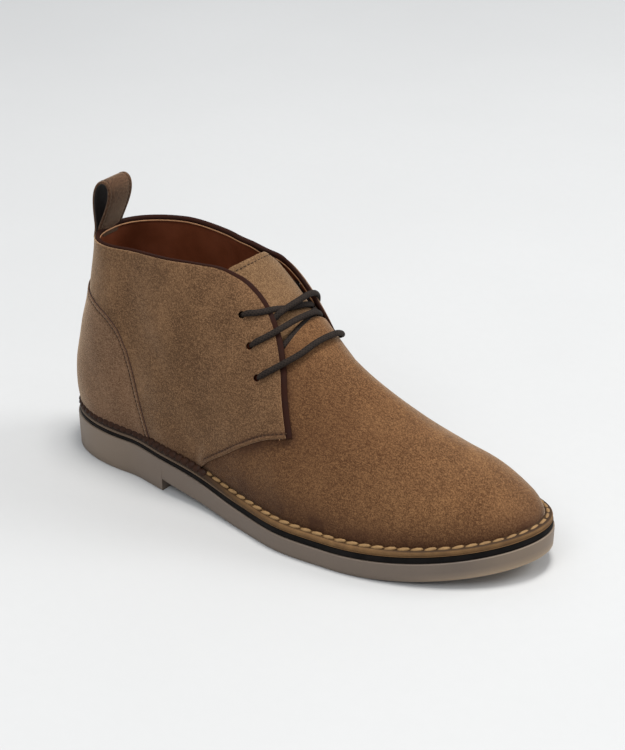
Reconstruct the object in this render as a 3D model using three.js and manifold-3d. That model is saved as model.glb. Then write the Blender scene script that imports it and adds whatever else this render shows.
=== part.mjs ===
/**
 * Suede chukka boot, right foot, standing empty on its sole.
 *
 * Frame: millimetres, +X from heel to toe, +Y to the inner (medial) side, +Z up.
 * The model is worked out from the back of the heel (x = 0) and then shifted so
 * that its origin is the centre of its footprint, on the floor.
 *
 * Every piece follows three shared descriptions: the plan outline of the sole,
 * the height line of the midsole, and the form of the last that the upper is
 * drawn over.
 */
import * as THREE from 'three';
import { mergeVertices } from 'three/addons/utils/BufferGeometryUtils.js';
import Module from 'manifold-3d';

const wasm = await Module();
wasm.setup();

// ---------------------------------------------------------------- driving sizes
const LENGTH = 302;            // sole, heel to toe
const HEEL_AXIS = 56;          // centre of the round heel
const BALL = 205;              // widest station, where the toe starts to taper
const HEEL_ROUNDNESS = 2.25;   // superellipse powers of the outline's two ends
const TOE_ROUNDNESS = 1.94;
const GAP = 0.3;               // clearance between pieces that meet

const HEEL_LINE = 21.85;       // height of the midsole's middle under the heel
const FORE_LINE = 11.8;        // and under the ball
const ARCH_CENTRE = 115;       // where the line drops from one to the other
const ARCH_SOFTNESS = 15;
const SPRING = 11.8;           // toe spring of the line
const SPRING_START = 200;

const MIDSOLE_THICKNESS = 3.4;
const MIDSOLE_INSET = 0.2;
const WELT_INSET = 0.6;
const WELT_CLEARANCE = 1.3;
const WELT_THICKNESS = 3;
const INSOLE_THICKNESS = 3.5;
const INSOLE_TOE_INSET = 3.5;
const WALL = 2.4;              // suede and lining together
const SHELL_ROWS = 12;         // rows of faces up one side of the upper
const TOP_OF_MIDSOLE = MIDSOLE_THICKNESS / 2 + GAP;

const HEEL_MARGIN = 3.7;       // how far the upper stands in from the sole's edge
const FORE_MARGIN = 5.6;
const TOE_MARGIN = 5.3;

const BREAST = 84.5;           // front of the heel
const BREAST_HEIGHT = 7;
const BREAST_SLOPE = 0.4;
const WAIST_END = 152;         // where the sole comes down to the floor again
const TREAD_SPRING_START = 212;
const TREAD_SPRING = 10.8;
const TREAD_INSET = 0.8;

const CROWN_FALL = 0.6;        // share of the last sections' slope kept on over the toe
const HEEL_DOME = 0.85;        // level above which the form closes over the heel

const CUTTER_TOP = 230;        // above everything that the top line cuts away
const CUTTER_REACH = 90;
const VAMP_TOP_RADIUS = 20;    // rounded top of the vamp in the throat
const VAMP_TOP_CENTRE = { x: 168, y: 5 };

const TONGUE_THICKNESS = 2.6;
const TONGUE_CLEARANCE = 1.3;  // under the vamp and the quarters' edges
const TONGUE_TOP = 119;
const TONGUE_ROOT = 174;
const TONGUE_EDGE = 0.68;      // how far up the section its sides come
const TONGUE_ROUNDING = 0.14;

const LACE_RADIUS = 1.5;
const LACE_LIFT = LACE_RADIUS + 1.2;
const EYELET_RADIUS = 2;
const EYELET_SIDES = 8;
const INSTEP_SLOPE = THREE.MathUtils.degToRad(40);

const LOOP_WIDTH = 20;
const LOOP_THICKNESS = 2.2;
const LOOP_HEIGHT = 30;
const LOOP_DEPTH = 14;
const LOOP_FOOT = 17.5;        // place of its foot along the boot
const LOOP_LEAN = 8;           // how far forward its top leans
const LOOP_SWELL = 0.65;       // half depth of the teardrop's outline, as a share of its depth

/** Plan of the sole: centre line and half width, a row for each station. */
const PLAN = [
  { x: 56, centre: 0, half: 36.3 },
  { x: 85, centre: -4.2, half: 37.6 },
  { x: 115, centre: -7, half: 38.6 },
  { x: 145, centre: -8.7, half: 44 },
  { x: 175, centre: -9.2, half: 50.6 },
  { x: 205, centre: -7.6, half: 52.2 },
  { x: 302, centre: 1, half: 52.2 },
];

/** Inset of the upper's foot from the sole's edge. */
const MARGIN = [
  { x: 56, inset: HEEL_MARGIN },
  { x: 130, inset: 5.2 },
  { x: 180, inset: FORE_MARGIN },
  { x: 302, inset: TOE_MARGIN },
];

/**
 * Sections of the last: height and side shift of the crown, how far the side
 * leans out over the foot of the wall, the length of the lower handle, and the
 * upper handle as a share of the half width. Behind the throat the crown is
 * only the point that the open sides lean towards.
 */
const FORM = [
  { x: 56, crown: 205, shift: 0, lean: 3.6, lower: 61, upper: 0.79 },
  { x: 85, crown: 183, shift: 0, lean: 3.8, lower: 56, upper: 0.77 },
  { x: 115, crown: 141, shift: 0, lean: 3.7, lower: 48, upper: 0.69 },
  { x: 140, crown: 115.5, shift: 1, lean: 3.5, lower: 39, upper: 0.61 },
  { x: 165, crown: 97.5, shift: 2, lean: 2.8, lower: 29.5, upper: 0.565 },
  { x: 190, crown: 79, shift: 3, lean: 1.8, lower: 22.5, upper: 0.535 },
  { x: 215, crown: 65, shift: 3, lean: 1.3, lower: 19, upper: 0.54 },
  { x: 240, crown: 56, shift: 3, lean: 0.9, lower: 17, upper: 0.57 },
  { x: 262, crown: 49, shift: 4, lean: 0.85, lower: 15, upper: 0.6 },
  { x: 280, crown: 40.5, shift: 5, lean: 0.8, lower: 11.5, upper: 0.62 },
];
const LAST_SECTION = FORM[FORM.length - 1].x;

/** Profile of the back seam: height over the foot of the wall, and inset. */
const BACK = [
  { x: 0, inset: 0 },
  { x: 12, inset: -2 },
  { x: 28, inset: -1.5 },
  { x: 48, inset: 2.2 },
  { x: 68, inset: 7.2 },
  { x: 88, inset: 11.6 },
  { x: 106, inset: 13.4 },
  { x: 200, inset: 12 },
];

/** How far the medial edge of the throat stands open, at stations along the boot. */
const OPENING = [
  { x: 95, spread: 0 },
  { x: 108, spread: 4 },
  { x: 116, spread: 8 },
  { x: 124, spread: 14 },
  { x: 132, spread: 15.5 },
  { x: 140, spread: 14 },
  { x: 148, spread: 10.5 },
  { x: 156, spread: 6.5 },
  { x: 165, spread: 3 },
  { x: 176, spread: 0 },
];
const OPENS_FROM = 0.75;       // levels, 0 at the lateral foot and 2 at the medial one,
const OPENS_OVER = 0.45;       // over which it opens
const CLOSES_FROM = 1.85;      // and over which the medial wall comes back to the form
const CLOSES_OVER = 0.65;

/** Top line of the upper seen from the side, from the back seam to the throat. */
const COLLAR = [
  { x: -10, height: 129 },
  { x: 16, height: 129.5 },
  { x: 60, height: 132.5 },
  { x: 88, height: 133.5 },
  { x: 104, height: 132.8 },
  { x: 115, height: 130 },
  { x: 126, height: 122.5 },
  { x: 135, height: 114.5 },
  { x: 141, height: 107.5 },
  { x: 147, height: 99 },
  { x: 154, height: 88 },
];

/** Eyelets on the quarters' front edges, top to bottom, seen from the side. */
const EYELETS = [
  { x: 128.8, height: 110.1 },
  { x: 137.2, height: 96.1 },
  { x: 145.5, height: 82 },
];

const LATERAL = -1;
const MEDIAL = 1;

// ---------------------------------------------------------------- plain maths
/** Smooth curve through one column of a table, level at its first row. */
function along(table, column, x) {
  const last = table.length - 1;
  const at = THREE.MathUtils.clamp(x, table[0].x, table[last].x);
  let i = 0;
  while (i < last - 1 && at > table[i + 1].x) i += 1;
  const secant = (k) => (table[k + 1][column] - table[k][column]) / (table[k + 1].x - table[k].x);
  const slope = (k) => {
    if (k === 0) return 0;
    if (k === last) return secant(last - 1);
    const before = table[k].x - table[k - 1].x;
    const after = table[k + 1].x - table[k].x;
    return (secant(k - 1) * after + secant(k) * before) / (before + after);
  };
  const span = table[i + 1].x - table[i].x;
  const t = (at - table[i].x) / span;
  const t2 = t * t;
  const t3 = t2 * t;
  return (2 * t3 - 3 * t2 + 1) * table[i][column]
    + (t3 - 2 * t2 + t) * span * slope(i)
    + (3 * t2 - 2 * t3) * table[i + 1][column]
    + (t3 - t2) * span * slope(i + 1);
}

/** Quarter of a superellipse: 1 at t = 0, falling to 0 at t = 1. */
function rounded(t, power) {
  return (1 - THREE.MathUtils.clamp(t, 0, 1) ** power) ** (1 / power);
}

/** Height of the midsole's middle at a station. */
function lineHeight(x) {
  const ramp = 1 / (1 + Math.exp((x - ARCH_CENTRE) / ARCH_SOFTNESS));
  const spring = Math.max(0, (x - SPRING_START) / (LENGTH - SPRING_START));
  return FORE_LINE + (HEEL_LINE - FORE_LINE) * ramp + SPRING * spring ** 2.2;
}

/** Height of the tread: the heel, the breast, the waist, the flat and the spring. */
function treadHeight(x) {
  if (x <= BREAST) return 0;
  const waist = THREE.MathUtils.clamp((WAIST_END - x) / (WAIST_END - BREAST), 0, 1);
  const spring = Math.max(0, (x - TREAD_SPRING_START) / (LENGTH - TREAD_SPRING_START));
  return BREAST_HEIGHT * waist ** 1.6 + TREAD_SPRING * spring ** 1.9;
}

// ---------------------------------------------------------------- stations
/**
 * Stations along the boot: planes that turn about the heel's axis, then slices
 * across the boot that close up towards the toe. `toe` runs 0 to 1 from the
 * ball to the tip of whatever outline is being drawn.
 */
function stations(turns, slices, toeSlices) {
  const list = [];
  for (let i = 0; i < turns; i += 1) list.push({ turn: (i / turns) * Math.PI / 2 });
  for (let i = 0; i < slices; i += 1) {
    list.push({ x: HEEL_AXIS + (i / slices) * (BALL - HEEL_AXIS), toe: 0 });
  }
  for (let i = 0; i <= toeSlices; i += 1) {
    list.push({ toe: Math.sin((i / toeSlices) * Math.PI / 2) });
  }
  return list;
}

const STATIONS = stations(9, 16, 13);

/** Distance out from the heel's axis in a plane turned away from the back. */
function heelReach(turn, back, side) {
  const c = Math.cos(turn) / Math.max(back, 1e-6);
  const s = Math.sin(turn) / Math.max(side, 1e-6);
  return (c ** HEEL_ROUNDNESS + s ** HEEL_ROUNDNESS) ** (-1 / HEEL_ROUNDNESS);
}

/** Station's place along the boot for an outline whose tip stands in by `tipInset`. */
function stationX(station, tipInset) {
  return station.toe > 0 || station.x === undefined
    ? BALL + (LENGTH - tipInset - BALL) * station.toe
    : station.x;
}

/** Point of the sole's outline, set in by a distance, as { x, y }. */
function planPoint(station, side, inset) {
  if (station.turn !== undefined) {
    const reach = heelReach(station.turn, HEEL_AXIS - inset, PLAN[0].half - inset);
    return { x: HEEL_AXIS - reach * Math.cos(station.turn), y: side * reach * Math.sin(station.turn) };
  }
  const x = stationX(station, inset);
  const half = (along(PLAN, 'half', x) - inset) * rounded(station.toe, TOE_ROUNDNESS);
  return { x, y: along(PLAN, 'centre', x) + side * half };
}

/** Height of the foot of the upper's wall, which stands on the midsole. */
function footHeight(x) {
  return lineHeight(x) + TOP_OF_MIDSOLE;
}

/** One side of a section of the last, set in by `inset`: its four control points. */
function sectionHandles(station, side, inset) {
  const x = station.turn !== undefined ? HEEL_AXIS : stationX(station, TOE_MARGIN + inset);
  const tip = LENGTH - TOE_MARGIN - inset;
  const taper = rounded(station.toe ?? 0, TOE_ROUNDNESS);
  const centre = along(PLAN, 'centre', x);
  const foot = (along(PLAN, 'half', x) - along(MARGIN, 'inset', x) - inset) * taper;
  const base = footHeight(x);
  const past = THREE.MathUtils.clamp((x - LAST_SECTION) / (tip - LAST_SECTION), 0, 1);
  const closing = rounded(past, 2);
  const previous = FORM[FORM.length - 2];
  const end = FORM[FORM.length - 1];
  const fall = (end.crown - previous.crown) / (end.x - previous.x);
  const crownHere = along(FORM, 'crown', x) + Math.max(0, x - LAST_SECTION) * fall * CROWN_FALL - inset;
  const crown = base + (crownHere - base) * closing;
  const shift = along(FORM, 'shift', x) + (along(PLAN, 'centre', tip) - end.shift) * past;
  const footY = centre + side * foot;
  const reach = Math.abs(footY - shift);
  return {
    x,
    y: [footY, footY + side * along(FORM, 'lean', x) * Math.sqrt(taper),
      shift + side * along(FORM, 'upper', x) * reach, shift],
    z: [base, base + along(FORM, 'lower', x) * closing, crown, crown],
  };
}

/** Cubic Bezier through four values. */
function bezier(values, t) {
  const s = 1 - t;
  return s ** 3 * values[0] + 3 * s * s * t * values[1] + 3 * s * t * t * values[2] + t ** 3 * values[3];
}

/** Sideways shift of the form where the throat stands open. */
function spread(x, v, side) {
  const level = side === LATERAL ? v : 2 - v;
  return along(OPENING, 'spread', x)
    * THREE.MathUtils.smoothstep(level, OPENS_FROM, OPENS_FROM + OPENS_OVER)
    * (1 - THREE.MathUtils.smoothstep(level, CLOSES_FROM - CLOSES_OVER, CLOSES_FROM));
}

/** Point of the last's form: v runs 0 to 1 from the foot of the wall to the crown. */
function formPoint(station, v, side, inset = 0) {
  const handles = sectionHandles(station, side, inset);
  const y = bezier(handles.y, v) + spread(handles.x, v, side);
  const z = bezier(handles.z, v);
  if (station.turn === undefined) return new THREE.Vector3(handles.x, y, z);
  const height = z - handles.z[0];
  const closing = rounded((v - HEEL_DOME) / (1 - HEEL_DOME), 2);
  const back = (HEEL_AXIS - HEEL_MARGIN - inset - along(BACK, 'inset', height)) * closing;
  const reach = v >= 1 ? 0 : heelReach(station.turn, back, Math.abs(y));
  return new THREE.Vector3(
    HEEL_AXIS - reach * Math.cos(station.turn),
    side * reach * Math.sin(station.turn),
    z,
  );
}

/** Slice of the form at a place along the boot, between the heel's axis and the tip. */
function stationAt(x) {
  return x <= BALL ? { x, toe: 0 } : { toe: (x - BALL) / (LENGTH - TOE_MARGIN - BALL) };
}

/** How far up a section, from 0 to 1, the form reaches a height on one side. */
function levelAt(x, height, side, inset = 0) {
  let low = 0;
  let high = 1;
  for (let i = 0; i < 40; i += 1) {
    const middle = (low + high) / 2;
    if (formPoint(stationAt(x), middle, side, inset).z < height) low = middle;
    else high = middle;
  }
  return low;
}

/** Point of the form at a place along the boot and a height, on one side. */
function formAtHeight(x, height, side, inset = 0) {
  return formPoint(stationAt(x), levelAt(x, height, side, inset), side, inset);
}

/** Outward direction of the form near a point of it, on one side. */
function formNormal(x, height, side) {
  const step = 1;
  const across = formAtHeight(x + step, height, side).sub(formAtHeight(x - step, height, side));
  const up = formAtHeight(x, height + step, side).sub(formAtHeight(x, height - step, side));
  return across.cross(up).multiplyScalar(-side).normalize();
}

// ---------------------------------------------------------------- solids
/** Skin through rings of equal length, as triangle corners. */
function skin(rings) {
  const positions = [];
  const count = rings[0].length;
  const triangle = (...corners) => corners.forEach((p) => positions.push(p.x, p.y, p.z));
  for (let i = 0; i + 1 < rings.length; i += 1) {
    for (let j = 0; j < count; j += 1) {
      const k = (j + 1) % count;
      triangle(rings[i][j], rings[i + 1][j], rings[i + 1][k]);
      triangle(rings[i][j], rings[i + 1][k], rings[i][k]);
    }
  }
  return positions;
}

/** Flat end over a ring of points, a strip between its first and its second half. */
function cap(ring, flip) {
  const positions = [];
  const half = ring.length / 2;
  for (let j = 0; j + 1 < half; j += 1) {
    const corners = [ring[j], ring[j + 1], ring[ring.length - 2 - j], ring[ring.length - 1 - j]];
    const [a, b, c, d] = flip ? corners.reverse() : corners;
    for (const p of [a, b, c, a, c, d]) positions.push(p.x, p.y, p.z);
  }
  return positions;
}

/** Closed body through rings whose first half runs beside their second half. */
function loft(rings) {
  const end = rings[rings.length - 1];
  return fromPositions([...skin(rings), ...cap(rings[0], false), ...cap(end, true)]);
}

/** Closed body through rings that come round again, or fold shut at both ends. */
function ringBody(rings) {
  return fromPositions(skin(rings));
}

/** Welded geometry without empty triangles, turned so that its faces point out. */
function fromPositions(positions) {
  const soup = new THREE.BufferGeometry();
  soup.setAttribute('position', new THREE.Float32BufferAttribute(positions, 3));
  const body = mergeVertices(soup, 1e-3);
  const index = body.getIndex().array;
  const kept = [];
  for (let i = 0; i < index.length; i += 3) {
    const [a, b, c] = [index[i], index[i + 1], index[i + 2]];
    if (a !== b && b !== c && c !== a) kept.push(a, b, c);
  }
  body.setIndex(kept);
  if (signedVolume(body) < 0) {
    for (let i = 0; i < kept.length; i += 3) [kept[i], kept[i + 1]] = [kept[i + 1], kept[i]];
    body.setIndex(kept);
  }
  return body;
}

/** Welded copy of a geometry that has its own corners on every face. */
function welded(geometry) {
  const plain = geometry.index ? geometry.toNonIndexed() : geometry;
  return fromPositions([...plain.getAttribute('position').array]);
}

/** Volume of a closed geometry, negative where its faces point in. */
function signedVolume(geometry) {
  const position = geometry.getAttribute('position');
  const index = geometry.getIndex().array;
  const corner = (i) => new THREE.Vector3().fromBufferAttribute(position, index[i]);
  let volume = 0;
  for (let i = 0; i < index.length; i += 3) volume += corner(i).dot(corner(i + 1).cross(corner(i + 2)));
  return volume / 6;
}

/** Geometry to manifold solid. */
function toSolid(geometry) {
  const body = welded(geometry);
  return new wasm.Manifold(new wasm.Mesh({
    numProp: 3,
    vertProperties: Float32Array.from(body.getAttribute('position').array),
    triVerts: Uint32Array.from(body.getIndex().array),
  }));
}

/** Manifold solid back to geometry. */
function toGeometry(solid) {
  const mesh = solid.getMesh();
  const geometry = new THREE.BufferGeometry();
  geometry.setAttribute('position', new THREE.Float32BufferAttribute(mesh.vertProperties, 3));
  geometry.setIndex(new THREE.Uint32BufferAttribute(mesh.triVerts, 1));
  return geometry;
}

/** Prism of a side-view outline, running right across the boot. */
function acrossPrism(points, halfWidth) {
  const shape = new THREE.Shape(points.map((p) => new THREE.Vector2(p.x, p.z)));
  const geometry = new THREE.ExtrudeGeometry(shape, { depth: 2 * halfWidth, bevelEnabled: false });
  geometry.rotateX(Math.PI / 2);
  geometry.translate(0, halfWidth, 0);
  return geometry;
}

/** Round bar between two points, used to punch the eyelets. */
function bar(from, to, radius, sides) {
  const geometry = new THREE.CylinderGeometry(radius, radius, from.distanceTo(to), sides);
  const direction = to.clone().sub(from).normalize();
  geometry.applyQuaternion(new THREE.Quaternion().setFromUnitVectors(new THREE.Vector3(0, 1, 0), direction));
  geometry.translate(...from.clone().add(to).multiplyScalar(0.5).toArray());
  return geometry;
}

/** Plate that follows the sole's outline, its insets and heights functions of x. */
function plate({ insetBelow, insetAbove, below, above, along: line = STATIONS }) {
  return loft(line.map((station) => {
    const x = station.turn !== undefined ? HEEL_AXIS : stationX(station, 0);
    const corner = (side, inset, height) => {
      const p = planPoint(station, side, inset(x));
      return new THREE.Vector3(p.x, p.y, height(p.x));
    };
    return [
      corner(LATERAL, insetBelow, below),
      corner(LATERAL, insetAbove, above),
      corner(MEDIAL, insetAbove, above),
      corner(MEDIAL, insetBelow, below),
    ];
  }));
}

// ---------------------------------------------------------------- pieces
/** Moulded rubber unit: heel, breast, waist, forepart and toe spring in one. */
function outsole() {
  const before = STATIONS.filter((station) => station.turn !== undefined || station.x < BREAST);
  const after = STATIONS.slice(before.length);
  return plate({
    insetBelow: () => TREAD_INSET,
    insetAbove: () => 0,
    below: treadHeight,
    above: (x) => lineHeight(x) - TOP_OF_MIDSOLE,
    along: [...before, { x: BREAST, toe: 0 }, { x: BREAST + BREAST_SLOPE, toe: 0 }, ...after],
  });
}

/** Thin dark midsole, seen as a line round the boot. */
function midsole() {
  return plate({
    insetBelow: () => MIDSOLE_INSET,
    insetAbove: () => MIDSOLE_INSET,
    below: (x) => lineHeight(x) - MIDSOLE_THICKNESS / 2,
    above: (x) => lineHeight(x) + MIDSOLE_THICKNESS / 2,
  });
}

/** Leather welt, a flat ring round the foot of the upper. */
function welt() {
  const round = [
    ...STATIONS.map((station) => ({ station, side: LATERAL })),
    ...STATIONS.map((station) => ({ station, side: MEDIAL })).reverse(),
  ];
  return ringBody([...round, round[0]].map(({ station, side }) => {
    const outer = planPoint(station, side, WELT_INSET);
    const inner = planPoint(station, side, along(MARGIN, 'inset', outer.x) - WELT_CLEARANCE);
    const low = footHeight(outer.x);
    const high = low + WELT_THICKNESS;
    return [
      new THREE.Vector3(outer.x, outer.y, low),
      new THREE.Vector3(outer.x, outer.y, high),
      new THREE.Vector3(inner.x, inner.y, high),
      new THREE.Vector3(inner.x, inner.y, low),
    ];
  }));
}

/** Insole, lying on the midsole inside the wall; it stops short of the toe's dome. */
function insole() {
  const inset = (x) => {
    const toe = Math.max(0, (x - BALL) / (LENGTH - BALL));
    return along(MARGIN, 'inset', x) + WALL + 2 * GAP + INSOLE_TOE_INSET * toe ** 2;
  };
  return plate({
    insetBelow: inset,
    insetAbove: inset,
    below: footHeight,
    above: (x) => footHeight(x) + INSOLE_THICKNESS,
  });
}

/** Shell between the form and a smaller one inside it, open underneath. */
function formShell(thickness, rows) {
  const arch = (station, inset) => {
    const points = [];
    for (let j = 0; j <= rows; j += 1) points.push(formPoint(station, j / rows, LATERAL, inset));
    for (let j = rows - 1; j >= 0; j -= 1) points.push(formPoint(station, j / rows, MEDIAL, inset));
    return points;
  };
  return ringBody(STATIONS.map((station) => [
    ...arch(station, 0),
    ...arch(station, thickness).reverse(),
  ]));
}

/** Everything above the top line, less the vamp's rounded top in the throat. */
function collarCutter() {
  const steps = 36;
  const first = COLLAR[0].x;
  const last = COLLAR[COLLAR.length - 1].x;
  const points = [];
  for (let i = 0; i <= steps; i += 1) {
    const x = first + (i / steps) * (last - first);
    points.push({ x, z: along(COLLAR, 'height', x) });
  }
  points.push({ x: last, z: CUTTER_TOP }, { x: first, z: CUTTER_TOP });
  const { x, y } = VAMP_TOP_CENTRE;
  const floor = new THREE.Vector3(x, y, 0);
  const vampTop = bar(floor, new THREE.Vector3(x, y, 2 * CUTTER_TOP), VAMP_TOP_RADIUS, 40);
  return toSolid(acrossPrism(points, CUTTER_REACH)).subtract(toSolid(vampTop));
}

/** Hollow upper: vamp and quarters as one wall, open at collar and throat. */
function upper() {
  let solid = toSolid(formShell(WALL, SHELL_ROWS)).subtract(collarCutter());
  for (const side of [LATERAL, MEDIAL]) {
    for (const { x, height } of EYELETS) {
      const at = formAtHeight(x, height, side);
      const normal = formNormal(x, height, side);
      const inside = at.clone().addScaledVector(normal, -2 * WALL);
      const outside = at.clone().addScaledVector(normal, WALL);
      solid = solid.subtract(toSolid(bar(inside, outside, EYELET_RADIUS, EYELET_SIDES)));
    }
  }
  return toGeometry(solid);
}

/** Tongue, a plate just under the vamp and the quarters' edges, its top rounded. */
function tongue() {
  const steps = 12;
  const across = 7;
  const inset = WALL + TONGUE_CLEARANCE;
  const rings = [];
  for (let i = 0; i <= steps; i += 1) {
    const t = i / steps;
    const station = stationAt(TONGUE_TOP + t * (TONGUE_ROOT - TONGUE_TOP));
    const edge = TONGUE_EDGE + TONGUE_ROUNDING * (1 - t) ** 6;
    const level = (j) => edge + (1 - edge) * (j / across);
    const line = (depth) => {
      const points = [];
      for (let j = 0; j <= across; j += 1) points.push(formPoint(station, level(j), LATERAL, depth));
      for (let j = across - 1; j >= 0; j -= 1) points.push(formPoint(station, level(j), MEDIAL, depth));
      return points;
    };
    rings.push([...line(inset), ...line(inset + TONGUE_THICKNESS).reverse()]);
  }
  return loft(rings);
}

/** How far forward and down the instep a point lies, measured along its slope. */
function alongInstep(x, z) {
  return x * Math.cos(INSTEP_SLOPE) - z * Math.sin(INSTEP_SLOPE);
}

/** Point of a lace at a level of the form, in a slice square to the instep. */
function lacePoint(instep, level) {
  const side = level <= 1 ? LATERAL : MEDIAL;
  const at = (x) => formPoint(stationAt(x), Math.min(level, 2 - level), side, -LACE_LIFT);
  let near = TONGUE_TOP - 20;
  let far = BALL;
  for (let i = 0; i < 40; i += 1) {
    const middle = (near + far) / 2;
    const point = at(middle);
    if (alongInstep(point.x, point.z) < instep) near = middle;
    else far = middle;
  }
  return at(near);
}

/** Run of lace over the instep, from a lateral eyelet to a medial one. */
function laceRun(from, to) {
  const steps = 14;
  const start = levelAt(from.x, from.height, LATERAL, -LACE_LIFT);
  const end = 2 - levelAt(to.x, to.height, MEDIAL, -LACE_LIFT);
  const points = [];
  for (let i = 0; i <= steps; i += 1) {
    const t = i / steps;
    const instep = THREE.MathUtils.lerp(alongInstep(from.x, from.height), alongInstep(to.x, to.height), t);
    points.push(lacePoint(instep, THREE.MathUtils.lerp(start, end, t)));
  }
  const shape = new THREE.Shape();
  shape.absarc(0, 0, LACE_RADIUS, 0, 2 * Math.PI);
  return new THREE.ExtrudeGeometry(shape, {
    extrudePath: new THREE.CatmullRomCurve3(points),
    steps,
    curveSegments: 4,
    bevelEnabled: false,
  });
}

/** Lowest lace, straight across between the lowest eyelets. */
function laceBar() {
  return welded(laceRun(EYELETS[2], EYELETS[2]));
}

/** Upper lace: the two runs that cross between the upper eyelets, joined. */
function laceCrossing() {
  const rising = toSolid(laceRun(EYELETS[1], EYELETS[0]));
  const falling = toSolid(laceRun(EYELETS[0], EYELETS[1]));
  return toGeometry(rising.add(falling));
}

/** Teardrop loop of ribbon on a short stem, standing on the back of the collar. */
function pullLoop() {
  const foot = along(COLLAR, 'height', LOOP_FOOT) + GAP;
  const steps = 24;
  const teardrop = (depth, bottom, top, stem) => {
    const points = [];
    for (let i = 0; i < steps; i += 1) {
      const turn = ((i + 0.5) / steps) * 2 * Math.PI;
      const rise = (1 - Math.cos(turn)) / 2;
      const swell = LOOP_SWELL * depth * Math.sin(turn) * Math.sin(turn / 2);
      const width = rise < 0.5 ? Math.sign(swell) * Math.max(Math.abs(swell), stem) : swell;
      const z = bottom + (top - bottom) * rise;
      points.push(new THREE.Vector2(LOOP_FOOT + (LOOP_LEAN * (z - foot)) / LOOP_HEIGHT + width, z));
    }
    return points;
  };
  const top = foot + LOOP_HEIGHT;
  const shape = new THREE.Shape(teardrop(LOOP_DEPTH, foot, top, LOOP_THICKNESS));
  const sill = foot + 3 * LOOP_THICKNESS;
  const inside = teardrop(LOOP_DEPTH - 2 * LOOP_THICKNESS, sill, top - LOOP_THICKNESS, 0);
  shape.holes.push(new THREE.Path(inside));
  const geometry = new THREE.ExtrudeGeometry(shape, { depth: LOOP_WIDTH, bevelEnabled: false });
  geometry.rotateX(Math.PI / 2);
  geometry.translate(0, LOOP_WIDTH / 2, 0);
  return welded(geometry);
}

// ---------------------------------------------------------------- materials
const finish = (color, roughness) => new THREE.MeshStandardMaterial({ color, roughness, metalness: 0 });
const SUEDE = finish(0x6c523a, 0.95);
const WELT_LEATHER = finish(0x6b4a2f, 0.7);
const BLACK_RUBBER = finish(0x1c1a18, 0.7);
const GREY_RUBBER = finish(0x75685c, 0.6);
const LINING = finish(0x7a4526, 0.55);
const CORD = finish(0x3a332d, 0.7);

// ---------------------------------------------------------------- assembly
const pieces = [
  ['outsole', outsole(), GREY_RUBBER],
  ['midsole', midsole(), BLACK_RUBBER],
  ['welt', welt(), WELT_LEATHER],
  ['insole', insole(), LINING],
  ['upper', upper(), SUEDE],
  ['tongue', tongue(), SUEDE],
  ['lace_bar', laceBar(), CORD],
  ['lace_crossing', laceCrossing(), CORD],
  ['pull_loop', pullLoop(), SUEDE],
];

const boot = new THREE.Group();
for (const [name, geometry, material] of pieces) {
  const mesh = new THREE.Mesh(geometry, material);
  mesh.name = name;
  boot.add(mesh);
}

const box = new THREE.Box3().setFromObject(boot);
const centre = box.getCenter(new THREE.Vector3());
boot.position.set(-centre.x, -centre.y, -box.min.z);

export default boot;
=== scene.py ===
"""Looks of the suede chukka boot, right foot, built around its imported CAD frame.

The shapes are worked out in millimetres in the maker's frame: x forward from the
back of the heel, y to the inner (medial) side, z up from the floor.  Meshes are
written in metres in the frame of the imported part.

Places on the upper are given by `run`, millimetres along the boot measured from
the heel's axis plane, and `level`, 0 at the foot of the lateral wall, 1 at the
crown and 2 at the foot of the medial wall.  Runs below SEAM go on round the back
of the heel on to the other side.
"""
import logging
import math
from dataclasses import dataclass, field
from enum import Enum
from typing import Callable, Iterable, Sequence

import bmesh
import bpy
import numpy as np
from mathutils import Matrix, Vector


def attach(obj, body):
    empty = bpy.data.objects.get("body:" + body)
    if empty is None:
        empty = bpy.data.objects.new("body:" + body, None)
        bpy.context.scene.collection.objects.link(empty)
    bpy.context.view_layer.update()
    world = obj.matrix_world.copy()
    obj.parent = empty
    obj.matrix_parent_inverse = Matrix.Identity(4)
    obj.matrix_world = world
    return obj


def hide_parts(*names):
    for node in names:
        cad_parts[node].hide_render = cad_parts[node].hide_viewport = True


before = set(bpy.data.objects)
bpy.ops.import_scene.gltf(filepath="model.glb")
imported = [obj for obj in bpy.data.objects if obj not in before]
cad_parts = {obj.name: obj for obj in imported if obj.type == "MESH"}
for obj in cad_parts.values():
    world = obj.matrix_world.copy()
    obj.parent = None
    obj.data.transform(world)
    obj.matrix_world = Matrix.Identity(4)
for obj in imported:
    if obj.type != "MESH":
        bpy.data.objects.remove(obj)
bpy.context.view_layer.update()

LOG = logging.getLogger("chukka")
Array = np.ndarray
Colour = tuple[float, float, float]
Piece = bpy.types.Object
Socket = bpy.types.NodeSocket
Tree = bpy.types.NodeTree
Line = tuple[Array, Array]          # points of a line, and the outward directions there
Rows = Sequence[tuple[float, ...]]

MM = 0.001

# ------------------------------------------------------------------ shared sizes
LENGTH = 302.0
SOLE_MIDDLE = -7.5          # y of the middle of the sole's box, in the maker's frame
TO_PART = np.array([-LENGTH / 2, -SOLE_MIDDLE, 0.0])    # from the maker's frame to the part's
HEEL_AXIS = 56.0
BALL = 205.0
SEAM = -24.0                # run of the back seam
TOE_SPAN = 120.0            # run from the ball to the tip of the toe
TIP = BALL + TOE_SPAN
HEEL_ROUNDNESS = 2.25
TOE_ROUNDNESS = 1.94
HEEL_LINE, FORE_LINE = 21.85, 11.8
ARCH_CENTRE, ARCH_SOFTNESS = 115.0, 15.0
SPRING, SPRING_START = 11.8, 200.0
HALF_MIDSOLE = 1.7
GAP = 0.3
TOE_MARGIN, HEEL_MARGIN = 5.3, 3.7
BREAST, BREAST_HEIGHT, WAIST_END = 84.5, 7.0, 152.0
TREAD_SPRING, TREAD_SPRING_START = 10.8, 212.0
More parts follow.
